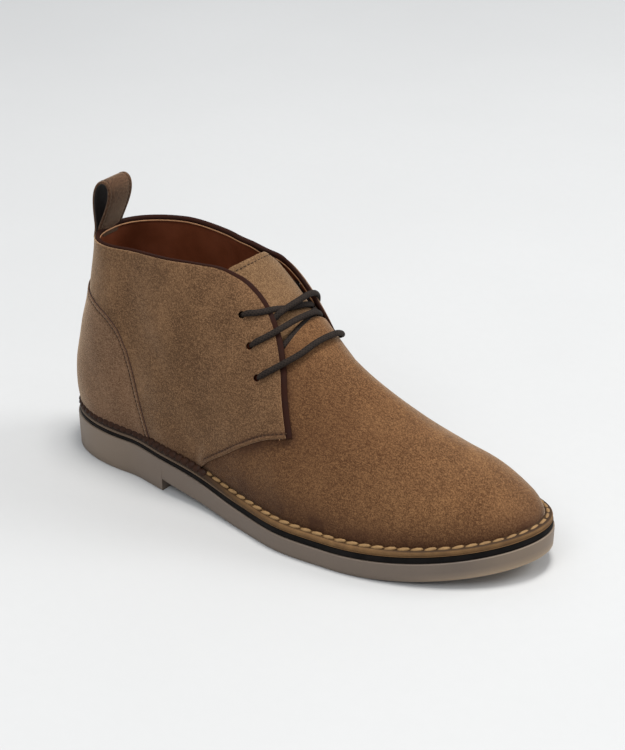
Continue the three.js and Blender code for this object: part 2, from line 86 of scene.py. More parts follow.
CROWN_FALL, HEEL_DOME = 0.6, 0.85
WALL = 2.4
COLLAR_ROUND = 39.0         # radius of the collar's turn round the heel's axis

# Rows of (x, middle of the sole, half its width).
PLAN = [(56, 0, 36.3), (85, -4.2, 37.6), (115, -7, 38.6), (145, -8.7, 44), (175, -9.2, 50.6),
        (205, -7.6, 52.2), (302, 1, 52.2)]
# Rows of (x, distance of the upper's foot from the sole's edge).
MARGIN = [(56, 3.7), (130, 5.2), (180, 5.6), (302, 5.3)]
# Rows of (x, height of the crown, its y, then the lean, lower and upper handles of the wall).
FORM = [(56, 205, 0, 3.6, 61, 0.79), (85, 183, 0, 3.8, 56, 0.77), (115, 141, 0, 3.7, 48, 0.69),
        (140, 115.5, 1, 3.5, 39, 0.61), (165, 97.5, 2, 2.8, 29.5, 0.565),
        (190, 79, 3, 1.8, 22.5, 0.535), (215, 65, 3, 1.3, 19, 0.54), (240, 56, 3, 0.9, 17, 0.57),
        (262, 49, 4, 0.85, 15, 0.6), (280, 40.5, 5, 0.8, 11.5, 0.62)]
# Rows of (height, distance that the heel's back comes forward).
BACK = [(0, 0), (12, -2), (28, -1.5), (48, 2.2), (68, 7.2), (88, 11.6), (106, 13.4), (200, 12)]
# Rows of (x, distance that the throat pushes the medial edge over).
OPENING = [(95, 0), (108, 4), (116, 8), (124, 14), (132, 15.5), (140, 14), (148, 10.5),
           (156, 6.5), (165, 3), (176, 0)]
OPENS_FROM, OPENS_OVER = 0.75, 0.45         # levels over which the throat opens
CLOSES_FROM, CLOSES_OVER = 1.85, 0.65       # and the medial wall comes back
# Rows of (x, height of the top line).
COLLAR = [(-10, 129), (16, 129.5), (60, 132.5), (88, 133.5), (104, 132.8), (115, 130),
          (126, 122.5), (135, 114.5), (141, 107.5), (147, 99), (154, 88)]
# Rows of (run, height).
EYELETS = [(128.8, 110.1), (137.2, 96.1), (145.5, 82.0)]


class Side(Enum):
    """Outer or inner side of the foot, as the sign of y."""

    LATERAL = -1
    MEDIAL = 1


class Curve:
    """Smooth curve through one column of a table of rows."""

    def __init__(self, xs: Sequence[float], ys: Sequence[float], level_start: bool = True) -> None:
        """Keeps the table and works out a slope for each row.

        Args:
            xs: places of the rows, rising.
            ys: values of the rows.
            level_start: whether the curve starts level.
        """
        self.xs = np.asarray(xs, float)
        self.ys = np.asarray(ys, float)
        width = np.diff(self.xs)
        secant = np.diff(self.ys) / width
        inner = (secant[:-1] * width[1:] + secant[1:] * width[:-1]) / (width[:-1] + width[1:])
        first = 0.0 if level_start else secant[0]
        self.slopes = np.concatenate([[first], inner, [secant[-1]]])

    def __call__(self, x: Array | float) -> Array:
        """Values of the curve.

        Args:
            x: places, held inside the table's ends.

        Returns:
            The values at those places.
        """
        at = np.clip(np.asarray(x, float), self.xs[0], self.xs[-1])
        i = np.clip(np.searchsorted(self.xs, at, side="left") - 1, 0, len(self.xs) - 2)
        span = self.xs[i + 1] - self.xs[i]
        t = (at - self.xs[i]) / span
        t2, t3 = t * t, t * t * t
        return ((2 * t3 - 3 * t2 + 1) * self.ys[i] + (t3 - 2 * t2 + t) * span * self.slopes[i]
                + (3 * t2 - 2 * t3) * self.ys[i + 1] + (t3 - t2) * span * self.slopes[i + 1])


def unit(rows: Array) -> Array:
    """Rows of coordinates brought to length 1."""
    return rows / np.maximum(np.linalg.norm(rows, axis=-1, keepdims=True), 1e-9)


def lengths_along(points: Array) -> Array:
    """Length of a line of points up to each of them."""
    return np.concatenate([[0.0], np.cumsum(np.linalg.norm(np.diff(points, axis=0), axis=1))])


class Trace:
    """Smooth line through points, sampled by share of its length."""

    def __init__(self, points: Rows, samples: int = 500) -> None:
        """Measures the line.

        Args:
            points: the points it goes through, all of one dimension.
            samples: how finely its length is measured.
        """
        rows = np.asarray(points, float)
        chord = lengths_along(rows)
        columns = [Curve(chord, rows[:, k], level_start=False) for k in range(rows.shape[1])]
        fine = np.linspace(0, chord[-1], samples)
        self.dense = np.stack([column(fine) for column in columns], axis=-1)
        self.lengths = lengths_along(self.dense)

    @property
    def length(self) -> float:
        """Length of the whole line."""
        return float(self.lengths[-1])

    def at(self, share: Array | float) -> Array:
        """Points of the line.

        Args:
            share: shares of the line's length, 0 to 1.

        Returns:
            One point for each share.
        """
        place = np.asarray(share, float) * self.lengths[-1]
        return np.stack([np.interp(place, self.lengths, self.dense[:, k])
                         for k in range(self.dense.shape[1])], axis=-1)


def rounded(t: Array, power: float) -> Array:
    """Quarter of a superellipse: 1 at t = 0, falling to 0 at t = 1."""
    return (1 - np.clip(t, 0, 1) ** power) ** (1 / power)


def smooth(t: Array) -> Array:
    """Smooth step from 0 at t = 0 to 1 at t = 1."""
    t = np.clip(t, 0, 1)
    return t * t * (3 - 2 * t)


def fade(distance: Array, width: float) -> Array:
    """Smooth fall from 1 at no distance to 0 at `width`."""
    return 1 - smooth(distance / width)


def hump(distance: Array | float, width: float) -> Array:
    """Smooth hump of height 1 at no distance, `width` to its shoulder."""
    return np.exp(-(np.asarray(distance) / width) ** 2)


def unfolded(run: Array) -> Array:
    """Runs past the back seam, carried back to the same place on the lateral side."""
    return np.where(run < SEAM, 2 * SEAM - run, run)


def heel_turn(run: Array) -> Array:
    """Angle of a plane through the heel's axis, from the back seam to a quarter turn."""
    return np.clip((run - SEAM) / (HEEL_AXIS - SEAM), 0, 1) * math.pi / 2


def toe_share(run: Array) -> Array:
    """Share of the way from the ball to the tip of the toe, 0 to 1."""
    return np.sin(np.clip((run - BALL) / TOE_SPAN, 0, 1) * math.pi / 2)


def heelward(x: Array) -> Array:
    """1 under the heel, falling softly over the arch to 0 under the forepart."""
    return 1 / (1 + np.exp((x - ARCH_CENTRE) / ARCH_SOFTNESS))


def column(table: Rows, index: int) -> Curve:
    """Curve through one column of a table whose first column is x."""
    return Curve([row[0] for row in table], [row[index] for row in table])


def bezier(handles: Sequence[Array], t: Array) -> Array:
    """Cubic Bezier curves.

    Args:
        handles: four arrays of handles, one value for each curve.
        t: shares along the curves.

    Returns:
        The curves' values.
    """
    s = 1 - t
    first, second, third, fourth = handles
    return s**3 * first + 3 * s * s * t * second + 3 * s * t * t * third + t**3 * fourth


class Last:
    """The last that every piece is drawn over, and the outline and heights of its sole."""

    def __init__(self) -> None:
        """Sets up the curves of its tables."""
        self.centre, self.half = column(PLAN, 1), column(PLAN, 2)
        self.margin = column(MARGIN, 1)
        self.crown, self.shift, self.lean, self.lower, self.upper = (column(FORM, k) for k in range(1, 6))
        self.back = column(BACK, 1)
        self.collar = column(COLLAR, 1)
        self.opening = column(OPENING, 1)

    def line(self, x: Array) -> Array:
        """Height of the midsole's middle, stepped up at the heel and sprung at the toe."""
        spring = np.clip((x - SPRING_START) / (LENGTH - SPRING_START), 0, None)
        return FORE_LINE + (HEEL_LINE - FORE_LINE) * heelward(x) + SPRING * spring**2.2

    def tread(self, x: Array) -> Array:
        """Height of the tread, which drops to the floor at the heel.

        Args:
            x: places along the boot.

        Returns:
            The heights there.
        """
        waist = np.clip((WAIST_END - x) / (WAIST_END - BREAST), 0, 1)
        spring = np.clip((x - TREAD_SPRING_START) / (LENGTH - TREAD_SPRING_START), 0, None)
        return np.where(x <= BREAST, 0.0, BREAST_HEIGHT * waist**1.6 + TREAD_SPRING * spring**1.9)

    def foot(self, run: Array) -> Array:
        """Height of the foot of the upper's wall at a run."""
        return self.line(self.slice_x(unfolded(run), 0.0)) + HALF_MIDSOLE + GAP

    def slice_x(self, run: Array, inset: float) -> Array:
        """Place along the boot of the slice at a run.

        Args:
            run: runs on the lateral side.
            inset: distance in from the form.

        Returns:
            The places, which stay at the heel's axis for the planes that turn round it.
        """
        tip = LENGTH - TOE_MARGIN - inset
        return np.where(run <= BALL, np.clip(run, HEEL_AXIS, BALL), BALL + (tip - BALL) * toe_share(run))

    @staticmethod
    def reach(turn: Array, back: Array, side: Array) -> Array:
        """Distance out from the heel's axis in a plane turned away from the back.

        Args:
            turn: angles of the planes.
            back: distance to the back.
            side: distance to the side.

        Returns:
            The distances.
        """
        c = np.cos(turn) / np.maximum(back, 1e-6)
        s = np.sin(turn) / np.maximum(side, 1e-6)
        return (np.abs(c)**HEEL_ROUNDNESS + np.abs(s)**HEEL_ROUNDNESS)**(-1 / HEEL_ROUNDNESS)

    def outline(self, run: Array, inset: Array | float) -> Array:
        """Points of the sole's outline, set in by a distance.

        Args:
            run: runs along the sole; below SEAM they go round to the medial side.
            inset: distance in from the edge.

        Returns:
            The points' x and y.
        """
        run, inset = np.broadcast_arrays(np.asarray(run, float), np.asarray(inset, float))
        side = np.where(run < SEAM, 1.0, -1.0)
        run = unfolded(run)
        turn, toe = heel_turn(run), toe_share(run)
        reach = self.reach(turn, HEEL_AXIS - inset, PLAN[0][2] - inset)
        x = np.where(run <= BALL, run, BALL + (LENGTH - inset - BALL) * toe)
        half = (self.half(x) - inset) * rounded(toe, TOE_ROUNDNESS)
        heel = run < HEEL_AXIS
        return np.stack([np.where(heel, HEEL_AXIS - reach * np.cos(turn), x),
                         np.where(heel, side * reach * np.sin(turn), self.centre(x) + side * half)], -1)

    def form(self, run: Array, level: Array, inset: float = 0.0) -> Array:
        """Points of the form.

        Args:
            run: runs along the form.
            level: levels over it, 0 to 2.
            inset: distance in from the form.

        Returns:
            The points, in the maker's frame.
        """
        run, level = np.broadcast_arrays(np.asarray(run, float), np.asarray(level, float))
        level = np.where(run < SEAM, 2 - level, level)
        run = unfolded(run)
        side = np.where(level <= 1, -1.0, 1.0)
        v = np.where(level <= 1, level, 2 - level)
        x = self.slice_x(run, inset)
        tip = LENGTH - TOE_MARGIN - inset
        taper = rounded(toe_share(run), TOE_ROUNDNESS)
        foot = (self.half(x) - self.margin(x) - inset) * taper
        base = self.line(x) + HALF_MIDSOLE + GAP
        past = np.clip((x - FORM[-1][0]) / (tip - FORM[-1][0]), 0, 1)
        closing = rounded(past, 2)
        fall = (FORM[-1][1] - FORM[-2][1]) / (FORM[-1][0] - FORM[-2][0])
        crown_here = self.crown(x) + np.maximum(0, x - FORM[-1][0]) * fall * CROWN_FALL - inset
        crown = base + (crown_here - base) * closing
        shift = self.shift(x) + (self.centre(tip) - FORM[-1][2]) * past
        foot_y = self.centre(x) + side * foot
        out = np.abs(foot_y - shift)
        y = bezier([foot_y, foot_y + side * self.lean(x) * np.sqrt(taper),
                    shift + side * self.upper(x) * out, shift], v)
        y = y + self.opening(x) * smooth((level - OPENS_FROM) / OPENS_OVER) \
            * smooth((CLOSES_FROM - level) / CLOSES_OVER)
        z = bezier([base, base + self.lower(x) * closing, crown, crown], v)
        dome = rounded((v - HEEL_DOME) / (1 - HEEL_DOME), 2)
        back = (HEEL_AXIS - HEEL_MARGIN - inset - self.back(z - base)) * dome
        turn = heel_turn(run)
        reach = self.reach(turn, back, np.abs(y))
        heel = run < HEEL_AXIS
        return np.stack([np.where(heel, HEEL_AXIS - reach * np.cos(turn), x),
                         np.where(heel, side * reach * np.sin(turn), y), z], -1)

    def normal(self, run: Array, level: Array) -> Array:
        """Outward directions of the form.

        Args:
            run: runs along the form.
            level: levels over it.

        Returns:
            One direction of length 1 for each place.
        """
        run = np.minimum(np.asarray(run, float), TIP - 1.2)
        level = np.asarray(level, float)
        ahead = self.form(run + 0.4, level) - self.form(run - 0.4, level)
        up = self.form(run, level + 0.003) - self.form(run, level - 0.003)
        return unit(np.cross(ahead, up))

    def skin(self, run: Array, level: Array, offset: Array | float) -> Array:
        """Points that stand off the form along its normals."""
        offset = np.asarray(offset, float)
        return self.form(run, level) + self.normal(run, level) * offset[..., None]

    def level_at(self, run: Array, height: Array) -> Array:
        """Levels, up one side, at which the form reaches a height.

        Args:
            run: runs; below SEAM they lie on the medial side.
            height: heights above the floor.

        Returns:
            The levels, from 0 at the foot of that side to 1 at the crown.
        """
        run, height = np.broadcast_arrays(np.asarray(run, float), np.asarray(height, float))
        low, high = np.zeros(run.shape), np.ones(run.shape)
        for _ in range(26):
            middle = (low + high) / 2
            below = self.form(run, middle)[..., 2] < height
            low, high = np.where(below, middle, low), np.where(below, high, middle)
        return low

    def collar_height(self, run: Array) -> Array:
        """Height of the top line, the same on both sides.

        Args:
            run: runs along the form.

        Returns:
            The heights there.
        """
        run = unfolded(run)
        x = np.where(run < HEEL_AXIS, HEEL_AXIS - COLLAR_ROUND * np.cos(heel_turn(run)), run)
        return self.collar(x)


def around(x: float, side: Side) -> float:
    """Run of a place along the boot on one side, past the back seam on the medial side."""
    return x if side is Side.LATERAL else 2 * SEAM - x


# ------------------------------------------------------------------ meshes
def to_metres(points: Array) -> Array:
    """Points of the maker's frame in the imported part's frame, in metres."""
    return (points + TO_PART) * MM


def make_object(name: str, points: Array, faces: Sequence[Sequence[int]], finishes: Sequence[int],
                materials: Sequence[bpy.types.Material], sharp_degrees: float = 55.0,
                shade: Array | None = None) -> Piece:
    """Links a smooth mesh object whose faces point outwards.

    Args:
        name: name of the piece.
        points: corners in the maker's frame.
        faces: corner numbers of each face.
        finishes: material number of each face.
        materials: the piece's materials.
        sharp_degrees: edges that turn more than this stay sharp.
        shade: how far each corner's finish goes over to its deep colour, 0 to 1; mostly painted shade, and
            painted light on the outsole.

    Returns:
        The new object.
    """
    mesh = bpy.data.meshes.new(name)
    mesh.from_pydata(to_metres(np.asarray(points, float)).tolist(), [], [list(f) for f in faces])
    if shade is not None:
        mesh.attributes.new("shade", "FLOAT", "POINT").data.foreach_set(
            "value", np.ascontiguousarray(shade, np.float32))
    mesh.polygons.foreach_set("material_index", np.asarray(finishes, np.int32))
    for material in materials:
        mesh.materials.append(material)
    work = bmesh.new()
    work.from_mesh(mesh)
    bmesh.ops.remove_doubles(work, verts=work.verts, dist=1e-6)
    if work.calc_volume(signed=True) < 0:
        bmesh.ops.reverse_faces(work, faces=work.faces)
    work.to_mesh(mesh)
    work.free()
    mesh.shade_smooth()
    mesh.set_sharp_from_angle(angle=math.radians(sharp_degrees))
    made = bpy.data.objects.new(name, mesh)
    bpy.context.scene.collection.objects.link(made)
    return made


def apply_modifiers(piece: Piece) -> None:
    """Turns a piece with modifiers into a plain mesh.

    Args:
        piece: the piece, which loses its modifiers.
    """
    solid = bpy.data.meshes.new_from_object(piece.evaluated_get(bpy.context.evaluated_depsgraph_get()))
    piece.modifiers.clear()
    piece.data = solid


def grid_faces(rows: int, columns: int, ring: bool = False) -> list[tuple[int, ...]]:
    """Faces of a grid of corners.

    Args:
        rows: how many rows of corners.
        columns: how many corners in each row.
        ring: whether each row's last corner joins its first.

    Returns:
        The faces, in row order.
    """
    faces = []
    for i in range(rows - 1):
        for j in range(columns if ring else columns - 1):
            k = (j + 1) % columns
            a, b = i * columns, (i + 1) * columns
            faces.append((a + j, b + j, b + k, a + k))
    return faces


def sheet_object(name: str, outer: Array, inner: Array, materials: Sequence[bpy.types.Material],
                 shade: Array | None = None) -> Piece:
    """Closed sheet between two grids of the same size.

    Args:
        name: name of the piece.
        outer: rows by columns of points on the outer face.
        inner: the same grid on the inner face.
        materials: finishes of the outer face, the inner face and the cut edge.
        shade: rows by columns of painted shade, the same on both faces.

    Returns:
        The new object.
    """
    rows, columns = outer.shape[:2]
    count = rows * columns
    front = grid_faces(rows, columns)
    back = [tuple(reversed([c + count for c in face])) for face in front]
    edge = ([j for j in range(columns)] + [i * columns + columns - 1 for i in range(1, rows)]
            + [(rows - 1) * columns + j for j in range(columns - 2, -1, -1)]
            + [i * columns for i in range(rows - 2, 0, -1)])
    rim = [(a, b, b + count, a + count) for a, b in zip(edge, edge[1:] + edge[:1])]
    points = np.concatenate([outer.reshape(-1, 3), inner.reshape(-1, 3)])
    listed = list(dict.fromkeys(materials))
    sides = [listed.index(material) for material in materials]
    finishes = [sides[0]] * len(front) + [sides[1]] * len(back) + [sides[2]] * len(rim)
    both = None if shade is None else np.concatenate([shade.ravel(), shade.ravel()])
    return make_object(name, points, front + back + rim, finishes, listed, shade=both)


def swept_object(name: str, path: Array, out: Array, profile: Array | Callable[[float], Array],
                 materials: Sequence[bpy.types.Material], finishes: Sequence[int] | None = None,
                 uv: bool = False) -> Piece:
    """Solid swept along a path, its section turned with the surface under it.

    Args:
        name: name of the piece.
        path: points of the path.
        out: outward direction at each point.
        profile: closed section, rows of (out, across), or a function of the share of the path.
        materials: the piece's materials.
        finishes: finish of each side of the section.
        uv: whether to lay a UV map along it, in centimetres.

    Returns:
        The new object.
    """
    along = unit(np.gradient(path, axis=0))
    out = unit(out - along * np.sum(out * along, axis=1, keepdims=True))
    across = np.cross(along, out)
    shares = np.linspace(0, 1, len(path))
    sections = [np.asarray(profile(t) if callable(profile) else profile, float) for t in shares]
    rings = np.stack([p + s[:, :1] * o + s[:, 1:2] * a
                      for p, o, a, s in zip(path, out, across, sections)])
    columns = rings.shape[1]
    faces = grid_faces(len(rings), columns, ring=True)
    faces.append(tuple(range(columns)))
    faces.append(tuple(range(len(rings) * columns - 1, (len(rings) - 1) * columns - 1, -1)))
    row = list(finishes) if finishes else [0] * columns
    made = make_object(name, rings.reshape(-1, 3), faces, row * (len(rings) - 1) + [row[0]] * 2, materials)
    if uv:
        lay_uv(made, path, along, out)
    return made


def lay_uv(made: Piece, path: Array, along: Array, out: Array) -> None:
    """Gives a swept piece a UV map: round the section, and along the path in centimetres.

    Args:
        made: the piece.
        path: points of its path.
        along: direction of the path at each point.
        out: outward direction at each point.
    """
    mesh = made.data
    across = np.cross(along, out)
    points = np.empty(len(mesh.vertices) * 3)
    mesh.vertices.foreach_get("co", points)
    points = points.reshape(-1, 3) / MM - TO_PART
    near = np.argmin(np.linalg.norm(points[:, None] - path[None], axis=2), axis=1)
    reach = lengths_along(path)
    arm = points - path[near]
    v = (reach[near] + np.sum(arm * along[near], axis=1)) / 10
    turn = np.arctan2(np.sum(arm * across[near], axis=1), np.sum(arm * out[near], axis=1)) / (2 * math.pi)
    layer = mesh.uv_layers.new(name="UVMap")
    corners = np.empty(len(mesh.loops), np.int32)
    mesh.loops.foreach_get("vertex_index", corners)
    u = turn[corners]
    for polygon in mesh.polygons:
        span = list(polygon.loop_indices)
        if np.ptp(u[span]) > 0.5:
            u[span] = np.where(u[span] < 0, u[span] + 1, u[span])
    layer.data.foreach_set("uv", np.stack([u, v[corners]], axis=1).ravel())


def ellipse(half_out: float, half_across: float, sides: int = 16) -> Array:
    """Section of a flattened cord, rows of (out, across)."""
    turn = np.arange(sides) / sides * 2 * math.pi
    return np.stack([half_out * np.cos(turn), half_across * np.sin(turn)], axis=1)


def shares(length: float, step: float, first: Sequence[float] = (), last: Sequence[float] = ()) -> Array:
    """Shares of a length, evenly spaced but closer in a band at each end.

    Args:
        length: the length.
        step: usual spacing.
        first: distances from the start that the band there has rows at.
        last: the same for the end.

    Returns:
        Rising shares from 0 to 1.
    """
    start, end = (first[-1] if first else 0.0), length - (last[-1] if last else 0.0)
    middle = np.linspace(start, end, max(2, int(round((end - start) / step)) + 1))
    places = np.concatenate([[0.0], np.asarray(first[:-1]), middle,
                             length - np.asarray(last[:-1])[::-1], [length]])
    return np.unique(np.round(places, 6)) / length


EDGE_BAND = (0.25, 0.55, 0.9, 1.4, 1.9, 2.4, 2.9, 3.5, 4.4)


@dataclass(frozen=True)
class Fold:
    """Soft ridge (or trough, where its rise is negative) placed on the upper."""

    run: float
    height: float
    slope: float          # degrees, from along the boot towards up
    length: float
    width: float
    rise: float

    def lift(self, run: Array, height: Array) -> Array:
        """How far it lifts the surface.

        Args:
            run: runs of the places.
            height: their heights.

        Returns:
            The lifts.
        """
        a = math.radians(self.slope)
        dx, dz = run - self.run, height - self.height
        along, across = dx * math.cos(a) + dz * math.sin(a), dz * math.cos(a) - dx * math.sin(a)
        return self.rise * hump(along, self.length) * hump(across, self.width)


def waver(points: Array, rise: float) -> Array:
    """Slow unevenness of hand-lasted suede, the same at the same place.

    Args:
        points: places in the maker's frame.
        rise: how strong it is.

    Returns:
        How far each place is lifted.
    """
    x, y, z = points[..., 0], points[..., 1], points[..., 2]
    return rise * (np.sin(x / 9.1 + z / 14.3 + 0.7) * np.sin(y / 11.7 - z / 8.3)
                   + 0.6 * np.sin(x / 5.3 - y / 6.1 + z / 7.9) + 0.5 * np.sin(z / 4.7 + x / 16.0 + 2.0))


def edge_roll(distance: Array, drop: float = 0.35, radius: float = 0.8) -> Array:
    """How far a cut edge rolls down at a distance in from it."""
    return -drop * np.clip(1 - distance / radius, 0, 1)**2


def stitch_furrow(distance: Array, row: float, depth: float = 0.2, width: float = 0.75) -> Array:
    """Furrow that a row of stitches pulls into the surface."""
    return -depth * hump(distance - row, width)


# ------------------------------------------------------------------ materials
class Nodes:
    """Short way to write a shader or geometry tree."""

    def __init__(self, tree: Tree) -> None:
        """Keeps the tree, how many nodes it has, and a group's own sockets."""
        self.tree, self.count = tree, 0
        self.takes, self.gives = None, None

    def add(self, kind: str, settings: dict[str, object] | None = None, **inputs: object) -> bpy.types.Node:
        """Adds a node.

        Args:
            kind: type name of the node.
            settings: properties to set on it.
            inputs: values or sockets for its inputs, named with _ for a space; numbers as iN.

        Returns:
            The new node.
        """
        node = self.tree.nodes.new(kind)
        node.location = (220 * (self.count % 9), -260 * (self.count // 9))
        self.count += 1
        for key, value in (settings or {}).items():
            setattr(node, key, value)
        for key, value in inputs.items():
            number = key[1:]
            socket = node.inputs[int(number)] if key[0] == "i" and number.isdigit() \
                else node.inputs[key.replace("_", " ")]
            if isinstance(value, Socket):
                self.tree.links.new(value, socket)
            else:
                socket.default_value = value
        return node

    def math(self, operation: str, a: object, b: object = 0.0, clamp: bool = False) -> Socket:
        """Result of a math node."""
        return self.add("ShaderNodeMath", {"operation": operation, "use_clamp": clamp}, i0=a, i1=b).outputs[0]

    def mix(self, share: object, a: object, b: object, blend: str = "MIX") -> Socket:
        """Result of mixing two colours."""
        node = self.add("ShaderNodeMix", {"data_type": "RGBA", "blend_type": blend}, i0=share, i6=a, i7=b)
        return node.outputs[2]

    def noise(self, vector: object, scale: object, detail: float = 2.0,
              roughness: float = 0.5) -> Socket:
        """Value of a noise texture."""
        return self.add("ShaderNodeTexNoise", {}, Vector=vector, Scale=scale, Detail=detail,
                        Roughness=roughness).outputs[0]

    def span(self, value: object, low: float, high: float, to_low: float = 0.0,
             to_high: float = 1.0) -> Socket:
        """Value carried smoothly from one range to another."""
        return self.add("ShaderNodeMapRange", {"interpolation_type": "SMOOTHSTEP"}, i0=value, i1=low,
                        i2=high, i3=to_low, i4=to_high).outputs[0]

    def stretched(self, vector: object, scale: tuple[float, float, float],
                  turn: tuple[float, float, float] = (0, 0, 0)) -> Socket:
        """Coordinates turned and scaled."""
        return self.add("ShaderNodeMapping", {}, Vector=vector, Rotation=turn, Scale=scale).outputs[0]


BROWN, DARK_BROWN, DEEP_BROWN = (0.2, 0.1, 0.05, 1), (0.1, 0.05, 0.02, 1), (0.05, 0.02, 0.02, 1)
SURFACE = {"Color": "Color", "Height": "Float", "Roughness": "Float"}


def new_group(name: str, takes: dict[str, object], gives: dict[str, str]) -> Nodes:
    """Starts a shader node group that is laid out over a Vector.

    Args:
        name: name of the group.
        takes: its other inputs with their values, colours or numbers.
        gives: output names with their socket kinds.

    Returns:
        Its nodes, with `takes` as the group's input node and `gives` as its output node.
    """
    tree = bpy.data.node_groups.new(name, "ShaderNodeTree")
    tree.interface.new_socket("Vector", in_out="INPUT", socket_type="NodeSocketVector")
    for key, value in takes.items():
        kind = "Color" if isinstance(value, tuple) else "Float"
        socket = tree.interface.new_socket(key, in_out="INPUT", socket_type=f"NodeSocket{kind}")
        socket.default_value = value
    for key, kind in gives.items():
        tree.interface.new_socket(key, in_out="OUTPUT", socket_type=f"NodeSocket{kind}")
    nodes = Nodes(tree)
    nodes.takes = nodes.add("NodeGroupInput").outputs
    nodes.gives = nodes.add("NodeGroupOutput").inputs
    return nodes


def rgba(colour: Colour) -> tuple[float, float, float, float]:
    """Linear colour with full alpha from an sRGB colour of 0 to 255."""
    linear = [c / 12.92 if c <= 0.04045 else ((c + 0.055) / 1.055)**2.4 for c in (v / 255 for v in colour)]
    return (*linear, 1.0)


# Scales of the nap's noises, in turns a metre: patches, drifts, brush marks, mottle and fibres.
CLOUD, DRIFT, BRUSH, MOTTLE, FIBRE = 22.0, 48.0, 560.0, 1050.0, 2100.0
BRUSH_SHARE, MOTTLE_SHARE, FIBRE_SHARE = 0.18, 0.5, 0.32


def nap_group() -> Tree:
    """Brushed nap: cloudy patches, brush marks and mottled fibres, with painted shade where the piece's shade
    attribute asks for it.

    Returns:
        The group.
    """
    n = new_group("brushed_nap", {"Base": BROWN, "Light": BROWN, "Dark": DARK_BROWN, "Deep": DEEP_BROWN,
                                  "Clouds": 0.5, "Fibre": 0.5, "Shade": 0.0}, SURFACE)
    place = n.takes["Vector"]
    cloud = n.span(n.noise(place, CLOUD, 4.0, 0.6), 0.38, 0.64)
    drift = n.span(n.noise(n.stretched(place, (1, 1, 0.6), (0.3, 0.5, 0.2)), DRIFT, 5.0, 0.7), 0.35, 0.68)
    brush = n.noise(n.stretched(place, (0.5, 1.5, 1.5), (0.2, 0.65, 0.3)), BRUSH, 3.0, 0.7)
    mottle = n.noise(place, MOTTLE, 4.0, 0.8)
    fibre = n.noise(place, FIBRE, 3.0, 0.7)
    clouds, strength = n.takes["Clouds"], n.takes["Fibre"]
    colour = n.mix(n.math("MULTIPLY", cloud, clouds), n.takes["Base"], n.takes["Light"])
    faded = n.math("MULTIPLY", n.math("SUBTRACT", 1.0, drift), clouds)
    colour = n.mix(faded, colour, n.takes["Dark"])
    grain = n.math("ADD", n.math("MULTIPLY", brush, BRUSH_SHARE),
                   n.math("ADD", n.math("MULTIPLY", mottle, MOTTLE_SHARE),
                          n.math("MULTIPLY", fibre, FIBRE_SHARE)))
    grey = n.span(grain, 0.41, 0.6)
    lit = n.mix(n.math("MULTIPLY", grey, strength), colour, n.takes["Light"])
    sunk = n.math("MULTIPLY", n.math("SUBTRACT", 1.0, grey), strength)
    shaded = n.mix(sunk, lit, n.takes["Dark"])
    # painted shade: the piece's shade attribute, broken up by the drift noise, takes the colour over to Deep
    uneven = n.math("MULTIPLY", n.takes["Shade"], n.math("ADD", 0.65, n.math("MULTIPLY", drift, 0.5)), True)
    n.tree.links.new(n.mix(uneven, shaded, n.takes["Deep"]), n.gives["Color"])
    height = n.math("ADD", n.math("MULTIPLY", mottle, 0.6), n.math("MULTIPLY", fibre, 0.5))
    n.tree.links.new(height, n.gives["Height"])
    n.tree.links.new(n.span(grain, 0.4, 0.65, 0.98, 0.84), n.gives["Roughness"])
    return n.tree


def stain_group() -> Tree:
    """Uneven stain: two colours mixed by slow noise, with a fine grain in height and gloss.

    Returns:
        The group.
    """
    n = new_group("uneven_stain", {"Base": BROWN, "Stain": DARK_BROWN, "Scale": 60.0, "Amount": 0.5,
                                   "Grain": 900.0, "Gloss low": 0.4, "Gloss high": 0.6,
                                   "Deep": DEEP_BROWN, "Shade": 0.0}, SURFACE)
    place = n.takes["Vector"]
    slow = n.span(n.noise(place, n.takes["Scale"], 4.0, 0.6), 0.3, 0.7)
    colour = n.mix(n.math("MULTIPLY", slow, n.takes["Amount"]), n.takes["Base"], n.takes["Stain"])
    fine = n.noise(place, n.takes["Grain"], 3.0, 0.6)
    tone = n.math("MULTIPLY", n.span(fine, 0.35, 0.7), 0.25)
    toned = n.mix(tone, colour, n.takes["Stain"])
    # painted shade from the piece's shade attribute; on the outsole the deep colour is lighter, for painted
    # light
    n.tree.links.new(n.mix(n.takes["Shade"], toned, n.takes["Deep"]), n.gives["Color"])
    n.tree.links.new(fine, n.gives["Height"])
    rough = n.add("ShaderNodeMapRange", {}, i0=n.math("ADD", n.math("MULTIPLY", slow, 0.6),
                                                     n.math("MULTIPLY", fine, 0.4)),
                  i1=0.2, i2=0.8, i3=n.takes["Gloss high"], i4=n.takes["Gloss low"])
    n.tree.links.new(rough.outputs[0], n.gives["Roughness"])
    return n.tree


def ply_group() -> Tree:
    """Plied cord: slanting strands laid round it, from the piece's UV map.

    Returns:
        The group.
    """
    n = new_group("plied_cord", {"Strands": 3.0, "Pitch": 6.0, "Base": DARK_BROWN, "Light": BROWN},
                  {"Color": "Color", "Height": "Float"})
    apart = n.add("ShaderNodeSeparateXYZ", Vector=n.takes["Vector"]).outputs
    turn = n.math("MULTIPLY", apart[0], n.takes["Strands"])
    one = n.math("ADD", turn, n.math("MULTIPLY", apart[1], n.takes["Pitch"]))
    two = n.math("SUBTRACT", turn, n.math("MULTIPLY", apart[1], n.takes["Pitch"]))
    waves = [n.math("ABSOLUTE", n.math("SINE", n.math("MULTIPLY", strand, math.pi)))
             for strand in (one, two)]
    weave = n.math("MAXIMUM", *waves)
    lit = n.span(weave, 0.55, 1.0)
    wax = n.span(n.noise(n.takes["Vector"], 3.0, 2.0), 0.35, 0.7)
    colour = n.mix(n.math("MULTIPLY", lit, 0.55), n.takes["Base"], n.takes["Light"])
    colour = n.mix(n.math("MULTIPLY", wax, 0.35), colour, n.takes["Light"])
    n.tree.links.new(colour, n.gives["Color"])
    n.tree.links.new(weave, n.gives["Height"])
    return n.tree


